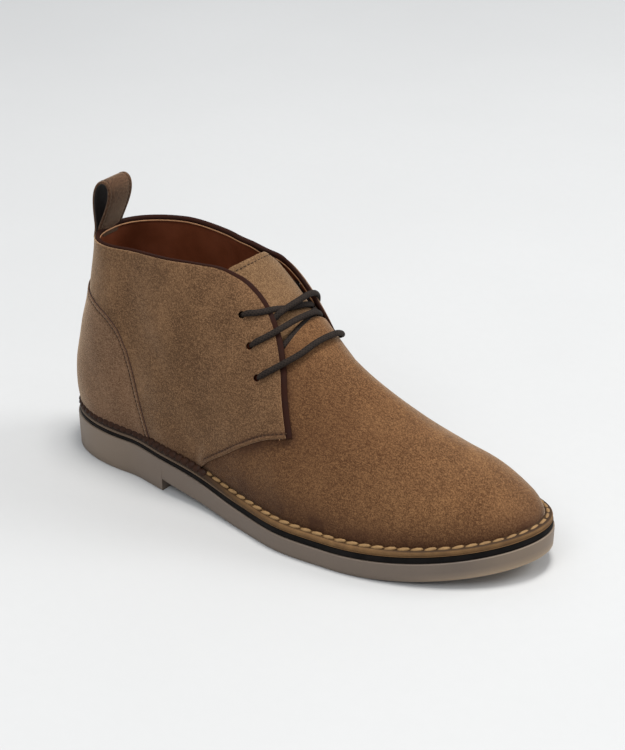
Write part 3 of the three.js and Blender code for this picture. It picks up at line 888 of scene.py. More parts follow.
@dataclass(frozen=True)
class Finish:
    """A finish: a procedural material over one of the shared effect groups."""

    name: str
    effect: str
    values: dict[str, object]       # inputs of the effect's group
    bump: float
    relief: float = 0.0003          # height of the bump, in metres
    roughness: float | None = None  # where the effect gives none
    shader: dict[str, object] = field(default_factory=dict)
    from_uv: bool = False

    def material(self, groups: dict[str, Tree]) -> bpy.types.Material:
        """Builds the material.

        Args:
            groups: the shared effect groups by name.

        Returns:
            The material.
        """
        made = bpy.data.materials.new(self.name)
        made.use_nodes = True
        made.node_tree.nodes.clear()
        n = Nodes(made.node_tree)
        where = n.add("ShaderNodeTexCoord").outputs["UV" if self.from_uv else "Object"]
        effect = n.add("ShaderNodeGroup", {"node_tree": groups[self.effect]})
        n.tree.links.new(where, effect.inputs["Vector"])
        if "Shade" in effect.inputs:
            shade = n.add("ShaderNodeAttribute", {"attribute_name": "shade"}).outputs["Fac"]
            n.tree.links.new(shade, effect.inputs["Shade"])
        for key, value in self.values.items():
            effect.inputs[key].default_value = value
        relief = n.add("ShaderNodeBump", Strength=self.bump, Distance=self.relief,
                       Height=effect.outputs["Height"])
        skin = n.add("ShaderNodeBsdfPrincipled", Normal=relief.outputs[0])
        n.tree.links.new(effect.outputs["Color"], skin.inputs["Base Color"])
        if "Roughness" in effect.outputs:
            n.tree.links.new(effect.outputs["Roughness"], skin.inputs["Roughness"])
        else:
            skin.inputs["Roughness"].default_value = self.roughness
        for key, value in self.shader.items():
            skin.inputs[key].default_value = value
        out = n.add("ShaderNodeOutputMaterial", Surface=skin.outputs[0])
        made.node_tree.nodes.active = out
        return made


class Workshop:
    """Holds the materials, built once from their finishes."""

    def __init__(self) -> None:
        """Builds the shared groups and every finish."""
        groups = {"nap": nap_group(), "stain": stain_group(), "ply": ply_group()}
        self.materials = {finish.name: finish.material(groups) for finish in FINISHES}
        LOG.info("%d finishes over %d shared effects", len(self.materials), len(groups))

    def pick(self, *names: str) -> list[bpy.types.Material]:
        """Materials by their finishes' names."""
        return [self.materials[name] for name in names]


MATT, DARK_MATT = 0.15, 0.1         # specular levels of dull finishes


def stain(name: str, base: Colour, dark: Colour, scale: float, grain: float, bump: float,
          gloss: tuple[float, float], relief: float = 0.0003, deep: Colour | None = None,
          specular: float | None = None) -> Finish:
    """Finish with uneven stain over leather, rubber, thread or floor.

    Args:
        name: name of the finish.
        base: its sRGB colour, 0 to 255.
        dark: colour of the stain.
        scale: scale of the stain's patches, in turns a metre.
        grain: scale of the fine grain.
        bump: strength of the grain's bump.
        gloss: roughness where it shines most and least.
        relief: height of the grain, in metres.
        deep: colour that the shade attribute takes it over to, such as painted shade; on the outsole a
            lighter one, for painted light.
        specular: specular level, where it isn't the usual one.

    Returns:
        The finish.
    """
    values = {"Base": rgba(base), "Stain": rgba(dark), "Scale": scale, "Grain": grain,
              "Gloss low": gloss[0], "Gloss high": gloss[1]}
    if deep:
        values["Deep"] = rgba(deep)
    shader = {} if specular is None else {"Specular IOR Level": specular}
    return Finish(name, "stain", values, bump, relief, shader=shader)


def suede(name: str, base: Colour, light: Colour, dark: Colour, deep: Colour) -> Finish:
    """Brushed suede in four tones.

    Args:
        name: name of the finish.
        base: its main sRGB colour, 0 to 255.
        light: colour of raised and brushed fibres.
        dark: colour between the fibres.
        deep: colour that places of painted shade go over to.

    Returns:
        The finish.
    """
    values = {"Base": rgba(base), "Light": rgba(light), "Dark": rgba(dark), "Deep": rgba(deep),
              "Clouds": 0.9, "Fibre": 0.75}
    shader = {"Sheen Weight": 0.8, "Sheen Roughness": 0.34, "Sheen Tint": rgba((232, 208, 180)),
              "Specular IOR Level": MATT}
    return Finish(name, "nap", values, bump=0.6, relief=0.0004, shader=shader)


FINISHES = (
    suede("suede", (106, 77, 51), (140, 106, 75), (75, 52, 34), (60, 36, 27)),
    suede("vamp_suede", (112, 76, 45), (150, 110, 72), (74, 47, 27), (56, 32, 21)),
    suede("counter_suede", (115, 87, 63), (147, 114, 87), (84, 60, 42), (68, 44, 33)),
    suede("tongue_suede", (118, 89, 61), (148, 115, 82), (90, 66, 44), (62, 42, 32)),
    suede("loop_suede", (84, 60, 44), (116, 86, 64), (54, 37, 27), (40, 28, 22)),
    # painted shade: the inner face of the pull loop is painted near black for the shade within the loop
    stain("painted_shade_loop_inside", (42, 33, 29), (30, 24, 22), 160.0, 1800.0, 0.3, (0.6, 0.8), 0.0001),
    # painted highlight: the suede's cut edges are painted lighter for the light they catch
    stain("highlit_suede_edge", (170, 134, 98), (130, 98, 68), 300.0, 2400.0, 0.5, (0.8, 0.95)),
    # painted shadow: the counter's cut edge is painted dark for the shadow beside its step
    stain("painted_shadow_edge", (50, 33, 24), (34, 22, 17), 300.0, 2400.0, 0.5, (0.8, 0.95)),
    stain("edge_leather", (46, 21, 12), (30, 14, 9), 160.0, 1800.0, 0.3, (0.6, 0.8), 0.0001,
          specular=DARK_MATT),
    stain("raw_edge", (216, 164, 120), (176, 124, 84), 260.0, 2600.0, 0.5, (0.75, 0.9), 0.0001),
    stain("lining_leather", (124, 66, 39), (88, 44, 25), 60.0, 1500.0, 0.25, (0.36, 0.55), 0.00008,
          specular=0.45),
    stain("insole_leather", (134, 76, 46), (98, 54, 32), 50.0, 1300.0, 0.25, (0.45, 0.6), 0.00008),
    stain("welt_leather", (128, 97, 62), (76, 52, 32), 120.0, 1500.0, 0.45, (0.55, 0.75), 0.0002,
          deep=(36, 23, 16), specular=MATT),
    stain("welt_strip", (122, 92, 60), (86, 63, 42), 140.0, 1500.0, 0.4, (0.55, 0.75), 0.00015,
          deep=(100, 84, 70), specular=MATT),
    stain("midsole_rubber", (14, 12, 11), (24, 20, 18), 110.0, 1600.0, 0.3, (0.6, 0.8), 0.0001,
          specular=DARK_MATT),
    # its lighter deep colour is painted light coming through the rubber round the toe, and lightens the heel
    stain("outsole_rubber", (112, 98, 86), (99, 86, 74), 38.0, 1100.0, 0.22, (0.45, 0.62), 0.00012,
          deep=(160, 138, 112)),
    stain("thread", (66, 46, 32), (44, 31, 22), 400.0, 5000.0, 0.4, (0.5, 0.7), 0.00005, specular=MATT),
    stain("welt_thread", (156, 124, 84), (108, 82, 54), 300.0, 4200.0, 0.5, (0.5, 0.7), 0.0001,
          specular=MATT),
    stain("dark_thread", (56, 33, 20), (26, 15, 10), 300.0, 4200.0, 0.4, (0.5, 0.7), 0.0001,
          specular=MATT),
    stain("floor", (199, 200, 200), (195, 196, 196), 3.0, 140.0, 0.02, (0.7, 0.8)),
    Finish("lace_cord", "ply", {"Strands": 4.0, "Pitch": 5.5, "Base": rgba((20, 16, 14)),
                                "Light": rgba((52, 43, 37))},
           bump=0.6, relief=0.00022, roughness=0.8, shader={"Specular IOR Level": MATT}, from_uv=True),
)


# ------------------------------------------------------------------ the upper
def put(piece: Piece, slot: str, *nodes: str) -> None:
    """Rides a piece on the boot and reports it.

    Args:
        piece: the piece.
        slot: not used.
        nodes: CAD nodes that it stands for.
    """
    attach(piece, "root")
    if nodes:
        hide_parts(*nodes)
    LOG.info("%-22s %6d faces", piece.name, len(piece.data.polygons))


BATCH = 4000        # points measured at a time, to spare memory


def nearest(points: Array, line: Array) -> Array:
    """Distance of points from a line.

    Args:
        points: the points, in a grid of any shape.
        line: closely spaced points of the line.

    Returns:
        The distances, in a grid of the same shape.
    """
    flat = points.reshape(-1, points.shape[-1])
    found = np.empty(len(flat))
    for start in range(0, len(flat), BATCH):
        part = flat[start:start + BATCH]
        found[start:start + BATCH] = np.linalg.norm(part[:, None] - line[None], axis=2).min(axis=1)
    return found.reshape(points.shape[:-1])


def coons(bottom: Trace, top: Trace, left: Trace, right: Trace, s: Array, t: Array) -> Array:
    """Grid of points inside four lines.

    Args:
        bottom: line that the first row lies on, from left to right.
        top: line of the last row, from left to right.
        left: line of the first column, from bottom to top.
        right: line of the last column, from bottom to top.
        s: shares of the columns.
        t: shares of the rows.

    Returns:
        Rows by columns of points.
    """
    b, u, l, r = bottom.at(s), top.at(s), left.at(t), right.at(t)
    s, t = s[None, :, None], t[:, None, None]
    return ((1 - t) * b[None] + t * u[None] + (1 - s) * l[:, None] + s * r[:, None]
            - (1 - s) * (1 - t) * b[0] - s * (1 - t) * b[-1] - (1 - s) * t * u[0] - s * t * u[-1])


# Lines that the pieces are cut along, as rows of (run, height).
TAB_EDGE = ((147.8, 99.9), (141, 107.9), (135.8, 113.4), (131, 118))
LATERAL_EDGE = ((170.3, 57.5), (162, 73.9), (155.5, 87.8), *TAB_EDGE)
MEDIAL_EDGE = ((164, 48), (160, 72), (155.5, 87), *TAB_EDGE)
LATERAL_SEAM = (LATERAL_EDGE[0], (158.5, 54.3), (144, 46.5), (129.9, 36.8), (118, 28.5))
MEDIAL_SEAM = (MEDIAL_EDGE[0], (150, 43), (128, 34), (114, 26.5))
COLLAR_RUNS = (122, 112, 100, 84, 68, 52, 36, 18, 0)
FOOT_RUNS = (108, 92, 74, 56, 36, 16, -4)
COUNTER_FRONT = 73.5
COUNTER_SIDE = ((72.6, 27.5), (69.5, 38), (65.3, 50), (61.5, 64), (57.5, 75.5))
COUNTER_TOP = (COUNTER_SIDE[-1], (50, 84.5), (39, 91), (24, 95.5), (6.7, 99.3), (-10, 103))
COUNTER_PEAK = (SEAM, 105.5)
# Rows of (level, run) of the vamp's hidden back edge.
VAMP_BACK = ((0, 92), (0.1, 106), (0.2, 118), (0.32, 136), (0.43, 144), (0.55, 146), (0.63, 149),
             (0.7, 152.5), (0.78, 154), (1, 154.2), (1.18, 154.5), (1.3, 152), (1.4, 148),
             (1.55, 142), (1.7, 130), (1.85, 108), (2, 92))
# Creases and soft bulges of the worn-in upper.
FOLDS = (Fold(116, 31, 35, 9, 4.5, 0.9), Fold(110, 30, 70, 9, 3, -0.6), Fold(160, 62, 48, 7, 1.4, -0.45),
         Fold(156, 63, 42, 8, 3, 0.35), Fold(181, 62, 80, 14, 2.2, -0.35), Fold(186, 60, 78, 16, 4, 0.3),
         Fold(100, 60, 20, 22, 6, 0.5), Fold(104, 50, 18, 20, 5, -0.45), Fold(96, 96, 15, 26, 8, 0.45),
         Fold(82, 78, -60, 22, 7, -0.5), Fold(120, 74, 60, 20, 7, 0.5), Fold(40, 108, 10, 30, 7, -0.4),
         Fold(30, 60, 80, 20, 8, 0.35), Fold(132, 60, 30, 16, 5, -0.35))


def medial(rows: Rows) -> list[tuple[float, float]]:
    """Rows of (run, height) carried round the back seam to the medial side."""
    return [(2 * SEAM - run, height) for run, height in rows]


def eyelet_places() -> list[Array]:
    """Middle of every eyelet, as (run, height)."""
    return [np.array([around(x, side), height]) for x, height in EYELETS for side in Side]


@dataclass
class Upper:
    """Quarters, counter and vamp of suede, with the lining and the facing of their edges."""

    last: Last
    shop: Workshop
    suede_out: float = 0.6          # outer face over the form
    suede_in: float = -0.7
    lining_out: float = -0.75
    lining_in: float = -1.75
    counter_out: float = 1.6
    counter_in: float = 0.4
    counter_foot: float = 0.2       # its foot over the foot of the wall
    vamp_under: float = -0.55       # how far the vamp dips under the quarters
    vamp_in: float = -2.1
    flare: float = 1.0              # how far the front edges stand off
    flare_width: float = 26.0
    drawn_in: float = 2.3           # how far the top of the heel's back leans forward
    drawn_width: float = 34.0
    drawn_from: float = 35.0        # height from which it leans
    drawn_over: float = 60.0
    furrow: float = 2.3             # distance of the stitch rows from the edges
    stitch_lift: float = -0.1       # stitches, from the face that they are sewn into
    uneven: float = 0.16            # how wavy the suede is
    vamp_uneven: float = 0.2
    lining_uneven: float = 0.12
    dent: float = 0.3               # depth of the back seam and of the dents at the eyelets
    eyelet_radius: float = 1.9
    eyelet_dent: float = 3.4        # how wide the dent round it is
    facing_leg: float = 0.9         # how far the facing goes down inside
    facing_leg_front: float = 3.1   # and how much further at the front edges
    facing_top: float = 1.3         # how wide it shows
    facing_top_front: float = 1.9
    folds: tuple[Fold, ...] = FOLDS
    rows: dict[str, Line] = field(default_factory=dict)

    def __post_init__(self) -> None:
        """Lays out the lines that the pieces are cut along."""
        foot = [(run, float(self.last.foot(run)) + GAP) for run in FOOT_RUNS]
        self.front = {Side.LATERAL: Trace(LATERAL_EDGE), Side.MEDIAL: Trace(medial(MEDIAL_EDGE))}
        self.fronts = np.concatenate([self.front[side].dense[::5] for side in Side])
        collar = [(run, float(self.last.collar_height(run))) for run in COLLAR_RUNS]
        collar = [LATERAL_EDGE[-1]] + collar
        back = [(SEAM, float(self.last.collar_height(SEAM)))]
        self.collar = Trace(collar + back + medial(collar)[::-1], 1200)
        seam_foot = [(SEAM, float(self.last.foot(SEAM)) + GAP)]
        self.base = Trace([*LATERAL_SEAM, *foot, *seam_foot, *medial(foot)[::-1],
                           *medial(MEDIAL_SEAM)[::-1]], 1200)
        self.rim = np.concatenate([self.front[Side.LATERAL].dense, self.collar.dense[1:-1],
                                   self.front[Side.MEDIAL].dense[::-1]])
        self.seams = np.concatenate([Trace(LATERAL_SEAM).dense, Trace(medial(MEDIAL_SEAM)).dense])

    def place(self, grid: Array, offset: Array | float) -> Array:
        """Points of the upper at (run, height) places, standing off the form.

        Args:
            grid: places.
            offset: how far off the form.

        Returns:
            The points, in the maker's frame.
        """
        run, height = grid[..., 0], grid[..., 1]
        level = self.last.level_at(run, height)
        return self.last.skin(run, level, np.broadcast_to(offset, run.shape))

    def stand_off(self, grid: Array) -> Array:
        """How far the front edges' flare lifts each place, less what the heel's back is drawn in.

        Args:
            grid: places, as (run, height).

        Returns:
            The lifts.
        """
        drawn = self.drawn_in * hump(grid[..., 0] - SEAM, self.drawn_width) \
            * smooth((grid[..., 1] - self.drawn_from) / self.drawn_over)
        return self.flare * fade(nearest(grid, self.fronts), self.flare_width) - drawn

    def relief(self, grid: Array) -> Array:
        """Lift of the listed folds.

        Args:
            grid: places, as (run, height).

        Returns:
            The lifts.
        """
        total = np.zeros(grid.shape[:-1])
        for fold in self.folds:
            total += fold.lift(grid[..., 0], grid[..., 1])
        return total

    def quarter_grid(self, step: float, band: Sequence[float]) -> Array:
        """Places over both quarters.

        Args:
            step: usual spacing.
            band: closer rows near the edges.

        Returns:
            Rows by columns of (run, height).
        """
        s = shares(self.base.length, step, band, band)
        t = shares(self.front[Side.LATERAL].length * 1.15, step, band, band)
        return coons(self.base, self.collar, self.front[Side.LATERAL], self.front[Side.MEDIAL], s, t)

    def quarters(self) -> Piece:
        """Both quarters, one piece of suede round the back.

        Returns:
            The piece, its eyelets not yet punched.
        """
        grid = self.quarter_grid(1.7, EDGE_BAND)
        rim, seam = nearest(grid, self.rim), nearest(grid, self.seams)
        lift = self.stand_off(grid)
        out = self.suede_out + lift + self.relief(grid) + waver(self.place(grid, 0.0), self.uneven)
        out += edge_roll(rim, 0.3, 0.9) + edge_roll(seam, 0.45, 1.1)
        out += stitch_furrow(seam, self.furrow, 0.35) + 0.4 * hump(seam - 1.1, 0.9)
        out -= self.dent * hump(grid[..., 0] - SEAM, 1.1)
        for middle in eyelet_places():
            out -= self.dent * hump(np.linalg.norm(grid - middle, axis=-1), self.eyelet_dent)
        above = grid[..., 1] - self.last.foot(grid[..., 0])
        # painted shade: darker low down, along the stitch furrow and beside the lower seam
        shade = 0.35 * fade(above, 22) + 0.65 * hump(seam - self.furrow, 0.75) + 0.15 * hump(seam, 7)
        return sheet_object("quarters", self.place(grid, out), self.place(grid, self.suede_in + lift),
                            self.shop.pick("suede", "highlit_suede_edge", "highlit_suede_edge"), shade)

    def lining(self) -> Piece:
        """Leather lining of the quarters.

        Returns:
            The piece, its eyelets not yet punched.
        """
        grid = self.quarter_grid(2.6, (0.5, 1.2, 2.4))
        lift = self.stand_off(grid)
        inner = self.lining_in + lift + waver(self.place(grid, 0.0), self.lining_uneven)
        return sheet_object("lining", self.place(grid, self.lining_out + lift), self.place(grid, inner),
                            self.shop.pick("lining_leather") * 3)

    def counter_lines(self) -> tuple[Trace, Trace, Trace, Trace]:
        """Lines round the counter.

        Returns:
            Its foot, its top, its lateral side and its medial side.
        """
        lift = self.counter_foot
        rows = [(COUNTER_FRONT, float(self.last.foot(COUNTER_FRONT)) + lift), *COUNTER_SIDE]
        runs = np.linspace(COUNTER_FRONT, 2 * SEAM - COUNTER_FRONT, 61)
        foot = Trace(list(zip(runs, self.last.foot(runs) + lift)), 1200)
        top = Trace([*COUNTER_TOP, COUNTER_PEAK, *medial(COUNTER_TOP)[::-1]], 1200)
        return foot, top, Trace(rows), Trace(medial(rows))

    def counter(self) -> Piece:
        """Counter over the quarters at the heel, under its curved seam.

        Returns:
            The piece.
        """
        foot, top, side, other = self.counter_lines()
        s = shares(top.length, 1.6, EDGE_BAND, EDGE_BAND)
        t = shares(side.length * 1.2, 1.6, (), EDGE_BAND)
        grid = coons(foot, top, side, other, s, t)
        away = nearest(grid, np.concatenate([side.dense, top.dense, other.dense]))
        lift = self.stand_off(grid)
        out = self.counter_out + lift + waver(self.place(grid, 0.0), self.uneven)
        out = out + edge_roll(away, 0.45, 0.9)
        out += stitch_furrow(away, self.furrow, 0.28) + 0.15 * smooth((away - 2) / 12)
        whole = Trace([*side.at(np.linspace(0, 1, 12)), *top.at(np.linspace(0, 1, 40))[1:],
                       *other.at(np.linspace(1, 0, 12))[1:]], 1500)
        self.rows["counter"] = self.stitch_line(whole, self.furrow, self.counter_out + self.stitch_lift)
        # painted shade: darker low down, a painted shadow along the cut edges and painted shade in the stitch
        # furrow
        shade = 0.4 * fade(grid[..., 1] - 24, 16) + 0.4 * hump(away, 0.9) \
            + 0.5 * hump(away - self.furrow, 0.7)
        return sheet_object("counter", self.place(grid, out), self.place(grid, self.counter_in + lift),
                            self.shop.pick("counter_suede", "painted_shadow_edge", "painted_shadow_edge"), shade)

    def stitch_line(self, edge: Trace, inset: float, offset: float) -> Line:
        """Line that runs beside an edge, and the outward directions along it.

        Args:
            edge: the edge, in (run, height).
            inset: how far to its left, looking along it.
            offset: how far off the form.

        Returns:
            Points of the line and the directions.
        """
        line = edge.at(np.linspace(0, 1, 400))
        along = unit(np.gradient(line, axis=0))
        line = line + inset * np.stack([-along[:, 1], along[:, 0]], axis=1)
        level = self.last.level_at(line[:, 0], line[:, 1])
        lift = offset + self.stand_off(line) + self.relief(line)
        return self.last.skin(line[:, 0], level, lift), self.last.normal(line[:, 0], level)

    def seam_line(self, side: Side) -> Line:
        """Line of the stitches along a quarter's lower seam, and outward directions there."""
        rows = LATERAL_SEAM if side is Side.LATERAL else medial(MEDIAL_SEAM)
        return self.stitch_line(Trace(rows), side.value * self.furrow, self.suede_out + self.stitch_lift)

    def vamp(self) -> Piece:
        """Vamp, from its hidden back edge over the toe.

        Returns:
            The piece.
        """
        back = column(VAMP_BACK, 1)
        level = np.linspace(0, 2, 150)
        start = back(level)
        t = shares(TIP - float(back(1.0)), 1.6, EDGE_BAND, (0.4, 1.0, 2.0))
        run = start[None] + (TIP - start[None]) * t[:, None]
        level = np.broadcast_to(level, run.shape)
        flat = self.last.form(run, level)
        places = np.stack([run, flat[..., 2]], axis=-1)
        out = self.vamp_under * fade(run - 172, 26) + waver(flat, self.vamp_uneven) * fade(run - 300, 22)
        out = out + np.where(level <= 1, self.relief(places), 0.0) + edge_roll(run - start, 0.4, 1.0)
        out = np.where(run > TIP - 4, out * np.clip((TIP - run) / 4, 0, 1), out)
        inner = self.last.skin(run, level, np.full(run.shape, self.vamp_in))
        inner[..., 2] = np.maximum(inner[..., 2], self.last.foot(np.minimum(run, TIP)) - 0.2)
        return sheet_object("vamp", self.last.skin(run, level, out), inner,
                            self.shop.pick("vamp_suede", "lining_leather", "vamp_suede"),
                            self.vamp_shade(run, level, places))

    def vamp_shade(self, run: Array, level: Array, places: Array) -> Array:
        """Painted shade of the vamp: darker low down, painted shadow beside and under the quarters' edges,
        darker off its ridge for a painted highlight along it, and darker towards the throat.

        Args:
            run: runs over the vamp.
            level: levels over it.
            places: the same places as (run, height).

        Returns:
            The shades, 0 to 0.8.
        """
        above = places[..., 1] - self.last.foot(run)
        beside, under = nearest(places, self.rim[::4]), nearest(places, self.seams[::4])
        shade = 0.3 * fade(above, 15) + 0.5 * fade(above, 24) + 0.35 * fade(above, 3.5)
        shade = shade + np.where(level < 1, 0.6 * hump(beside, 3.0), 0.0)
        shade = shade + np.where(level < 1, 0.3 * hump(under, 5.0) + 0.5 * hump(under, 1.6), 0.0)
        # painted highlight along the ridge: the painted shade falls away there
        off_ridge = 1 - 0.8 * hump(level - 1.08, 0.26)
        return np.minimum(shade + (0.12 + 0.3 * fade(run - 170, 90)) * off_ridge, 0.8)

    def facing(self) -> list[Piece]:
        """Dark leather along the cut edges, its inner band and the lining's raw edge.

        Returns:
            The facing, then the raw edges inside the collar and inside the far tab.
        """
        count = 420
        rim = Trace(self.rim[::12].tolist() + [self.rim[-1].tolist()], 2000)
        places = rim.at(np.linspace(0, 1, count))
        level = self.last.level_at(places[:, 0], places[:, 1])
        path = self.last.skin(places[:, 0], level, self.stand_off(places))
        out = self.last.normal(places[:, 0], level)
        front = fade(nearest(places, self.fronts) - 2, 30)

        def spread(t: float) -> float:
            """How near a share of the rim is to a front edge, 0 to 1."""
            return float(np.interp(t, np.linspace(0, 1, count), front))

        def reach(t: float) -> float:
            """How far the inner leg goes down at a share of the rim."""
            return self.facing_leg + self.facing_leg_front * spread(t)

        def band(t: float) -> Array:
            """Section of the facing: what shows of the edge, and the inner leg.

            Args:
                t: share of the rim.

            Returns:
                Rows of (out, across).
            """
            leg, top = reach(t), self.facing_top + self.facing_top_front * spread(t)
            return np.array([(-0.1, -0.15), (-0.1, top * 0.5), (-0.3, top * 0.88), (-0.9, top),
                             (-1.8, top * 0.92), (-2.5, top * 0.55), (-2.75, -0.1), (-2.8, -leg + 0.3),
                             (-2.6, -leg), (-1.75, -leg), (-1.7, -0.4), (-0.3, -0.4)])

        def cord(t: float) -> Array:
            """Section of the lining's raw edge, under the leg."""
            return ellipse(0.6, 0.6, 8) + np.array([-2.35, -reach(t) - 0.35])

        line = ellipse(0.3, 0.35, 8) + np.array([-2.85, -0.3])
        tab = slice(count // 2 + int(np.argmax(front[count // 2:] > 0.3)), count)
        raw = self.shop.pick("raw_edge")
        return [swept_object("edge_facing", path, out, band, self.shop.pick("edge_leather")),
                swept_object("lining_edge", path, out, cord, raw),
                swept_object("facing_edge_line", path[tab], out[tab], line, raw)]

    def punch(self, pieces: Iterable[Piece], sides: int = 14, depth: float = 6.0) -> None:
        """Cuts the eyelet holes through pieces.

        Args:
            pieces: pieces to cut.
            sides: faces round a hole.
            depth: how far the cutter goes to either side of the form.
        """
        points, faces = [], []
        turn = np.arange(sides) / sides * 2 * math.pi
        for place in eyelet_places():
            middle = self.place(place[None], 0.0)[0]
            level = self.last.level_at(place[:1], place[1:])
            normal = Vector(self.last.normal(place[:1], level)[0])
            frame_of = normal.to_track_quat("Z", "Y").to_matrix()
            start = len(points)
            for reach in (-depth, depth):
                for angle in turn:
                    arm = Vector((self.eyelet_radius * math.cos(angle),
                                  self.eyelet_radius * math.sin(angle), reach))
                    points.append(middle + np.array(frame_of @ arm))
            faces += [(start + i, start + (i + 1) % sides, start + sides + (i + 1) % sides,
                       start + sides + i) for i in range(sides)]
            faces += [tuple(range(start + sides - 1, start - 1, -1)),
                      tuple(range(start + sides, start + 2 * sides))]
        cutter = make_object("eyelet_cutter", np.array(points), faces, [0] * len(faces),
                             self.shop.pick("edge_leather"))
        for piece in pieces:
            cut = piece.modifiers.new("punch", "BOOLEAN")
            cut.operation, cut.solver, cut.object = "DIFFERENCE", "EXACT", cutter
            cut.material_mode = "TRANSFER"
            apply_modifiers(piece)
        bpy.data.objects.remove(cutter)

    def build(self) -> None:
        """Builds and dresses the whole upper."""
        quarters, lining = self.quarters(), self.lining()
        self.punch([quarters, lining])
        put(quarters, "suede", "upper")
        put(lining, "lining_leather")
        put(self.counter(), "suede")
        put(self.vamp(), "suede")
        edge, *raw = self.facing()
        put(edge, "edge_leather")
        for piece in raw:
            put(piece, "lining_leather")


# ------------------------------------------------------------------ tongue, laces and loop
# Rows of (level, run).
TONGUE_TOP_EDGE = ((0.66, 119.0), (0.72, 116.6), (0.785, 115.9), (0.873, 118.7), (0.95, 120.4),
                   (1.028, 120.7), (1.135, 119.3), (1.25, 121.5), (1.34, 126.0))


@dataclass
class Tongue:
    """Suede tongue under the laces, a little padded, its top edge stitched."""

    last: Last
    shop: Workshop
    low_level: float = 0.66
    high_level: float = 1.34
    top: float = 119.0              # runs of its top edge and of its root
    root: float = 170.0
    uneven: float = 0.22
    depth: float = -3.1             # outer face at the top, under the form
    sunk: float = -3.9              # and under the laces
    thickness: float = 2.3

    def outer(self, run: Array, level: Array) -> Array:
        """Offsets of the outer face, which sinks under the laces.

        Args:
            run: runs over the tongue.
            level: levels over it.

        Returns:
            The offsets from the form.
        """
        down = smooth((run - 118) / 14)
        offset = self.depth + (self.sunk - self.depth) * down
        return offset + 0.35 * hump(level - 0.97, 0.12) * fade(run - 140, 14)

    def build(self) -> Line:
        """Builds the tongue.

        Returns:
            Line of its top stitches, and outward directions there.
        """
        level = np.linspace(self.low_level, self.high_level, 60)
        start = column(TONGUE_TOP_EDGE, 1)(level)
        t = shares(self.root - self.top, 1.2, EDGE_BAND, (1.0, 2.0))
        run = start[None] + (self.root - start[None]) * t[:, None]
        level = np.broadcast_to(level, run.shape)
        edge = run - start
        flat = self.last.form(run, level)
        out = self.outer(run, level) + waver(flat, self.uneven) + edge_roll(edge, 0.5, 1.1)
        out += stitch_furrow(edge, 2.0, 0.18)
        outer = self.last.skin(run, level, out)
        inner = self.last.skin(run, level, self.outer(run, level) - self.thickness)
        piece = sheet_object("tongue", outer, inner,
                             self.shop.pick("tongue_suede", "lining_leather", "highlit_suede_edge"))
        put(piece, "suede", "tongue")
        line = np.linspace(0.70, 1.26, 160)
        at = column(TONGUE_TOP_EDGE, 1)(line) + 2.0
        return self.last.skin(at, line, self.outer(at, line) + 0.02), self.last.normal(at, line)


# Routes of the lace's runs, as rows of (run, level, distance off the form).
LACE_ROUTES = {
    "lace_bar": [(145.5, 0.545, -2.4), (145.8, 0.548, -0.4), (146.8, 0.558, 1.3), (149.4, 0.589, 2.4),
        (154.5, 0.655, 2.7), (161.6, 0.778, 2.7), (164.7, 0.895, 2.7), (166.4, 1.065, 2.5),
        (163.8, 1.21, 2.2), (157, 1.34, 2.1), (149.4, 1.42, 2.1), (146.6, 1.446, 1.2), (145.8, 1.453, -0.4),
        (145.5, 1.455, -2.4)],
    "lace_crossing": [(137.2, 0.625, -2.4), (137.4, 0.628, -0.4), (138.2, 0.638, 1.3), (140.2, 0.668, 2.4),
        (143.8, 0.722, 2.7), (148, 0.805, 2.7), (151.4, 0.907, 2.5), (153.4, 1.038, 1.2),
        (153.2, 1.12, -0.6), (151.5, 1.2, -2.6), (148, 1.33, -3.0), (145.5, 1.455, -2.6)],
    "lace_return": [(137.2, 1.375, -2.4), (137.5, 1.368, -0.4), (138.6, 1.34, 1.2), (141.2, 1.25, 2.1),
        (143.6, 1.14, 2.4), (144.8, 1.055, 2.5), (145.1, 0.972, 2.3), (144.3, 0.91, 1.5),
        (143.1, 0.853, 0.3), (142, 0.80, -1.4), (138, 0.74, -2.6), (130, 0.70, -2.8)],
    "lace_top": [(128.8, 0.695, -2.4), (128.9, 0.697, -0.4), (129.5, 0.704, 1.3), (131.2, 0.724, 2.4),
        (134.8, 0.762, 2.7), (137.9, 0.803, 2.2), (140.4, 0.85, 0.4), (142.3, 0.885, -0.9),
        (144.3, 0.92, -1.2), (145.7, 0.955, -1.4), (147, 1.02, -1.8), (146.5, 1.15, -2.8),
        (141, 1.28, -3.0), (133, 1.305, -2.9), (129.6, 1.306, -2.2), (128.8, 1.305, -0.6),
        (128.5, 1.304, 0.5)],
    "lace_under": [(145.5, 0.56, -2.6), (147.5, 0.62, -2.7), (150.8, 0.708, -2.3), (153.1, 0.795, -2.0),
        (153.9, 0.89, -1.9), (153.6, 0.99, -2.2), (150.5, 1.12, -2.8), (144, 1.28, -3.0),
        (137.5, 1.37, -2.8)],
}
LACE_NODES = ("lace_bar", "lace_crossing")      # runs that the CAD has too


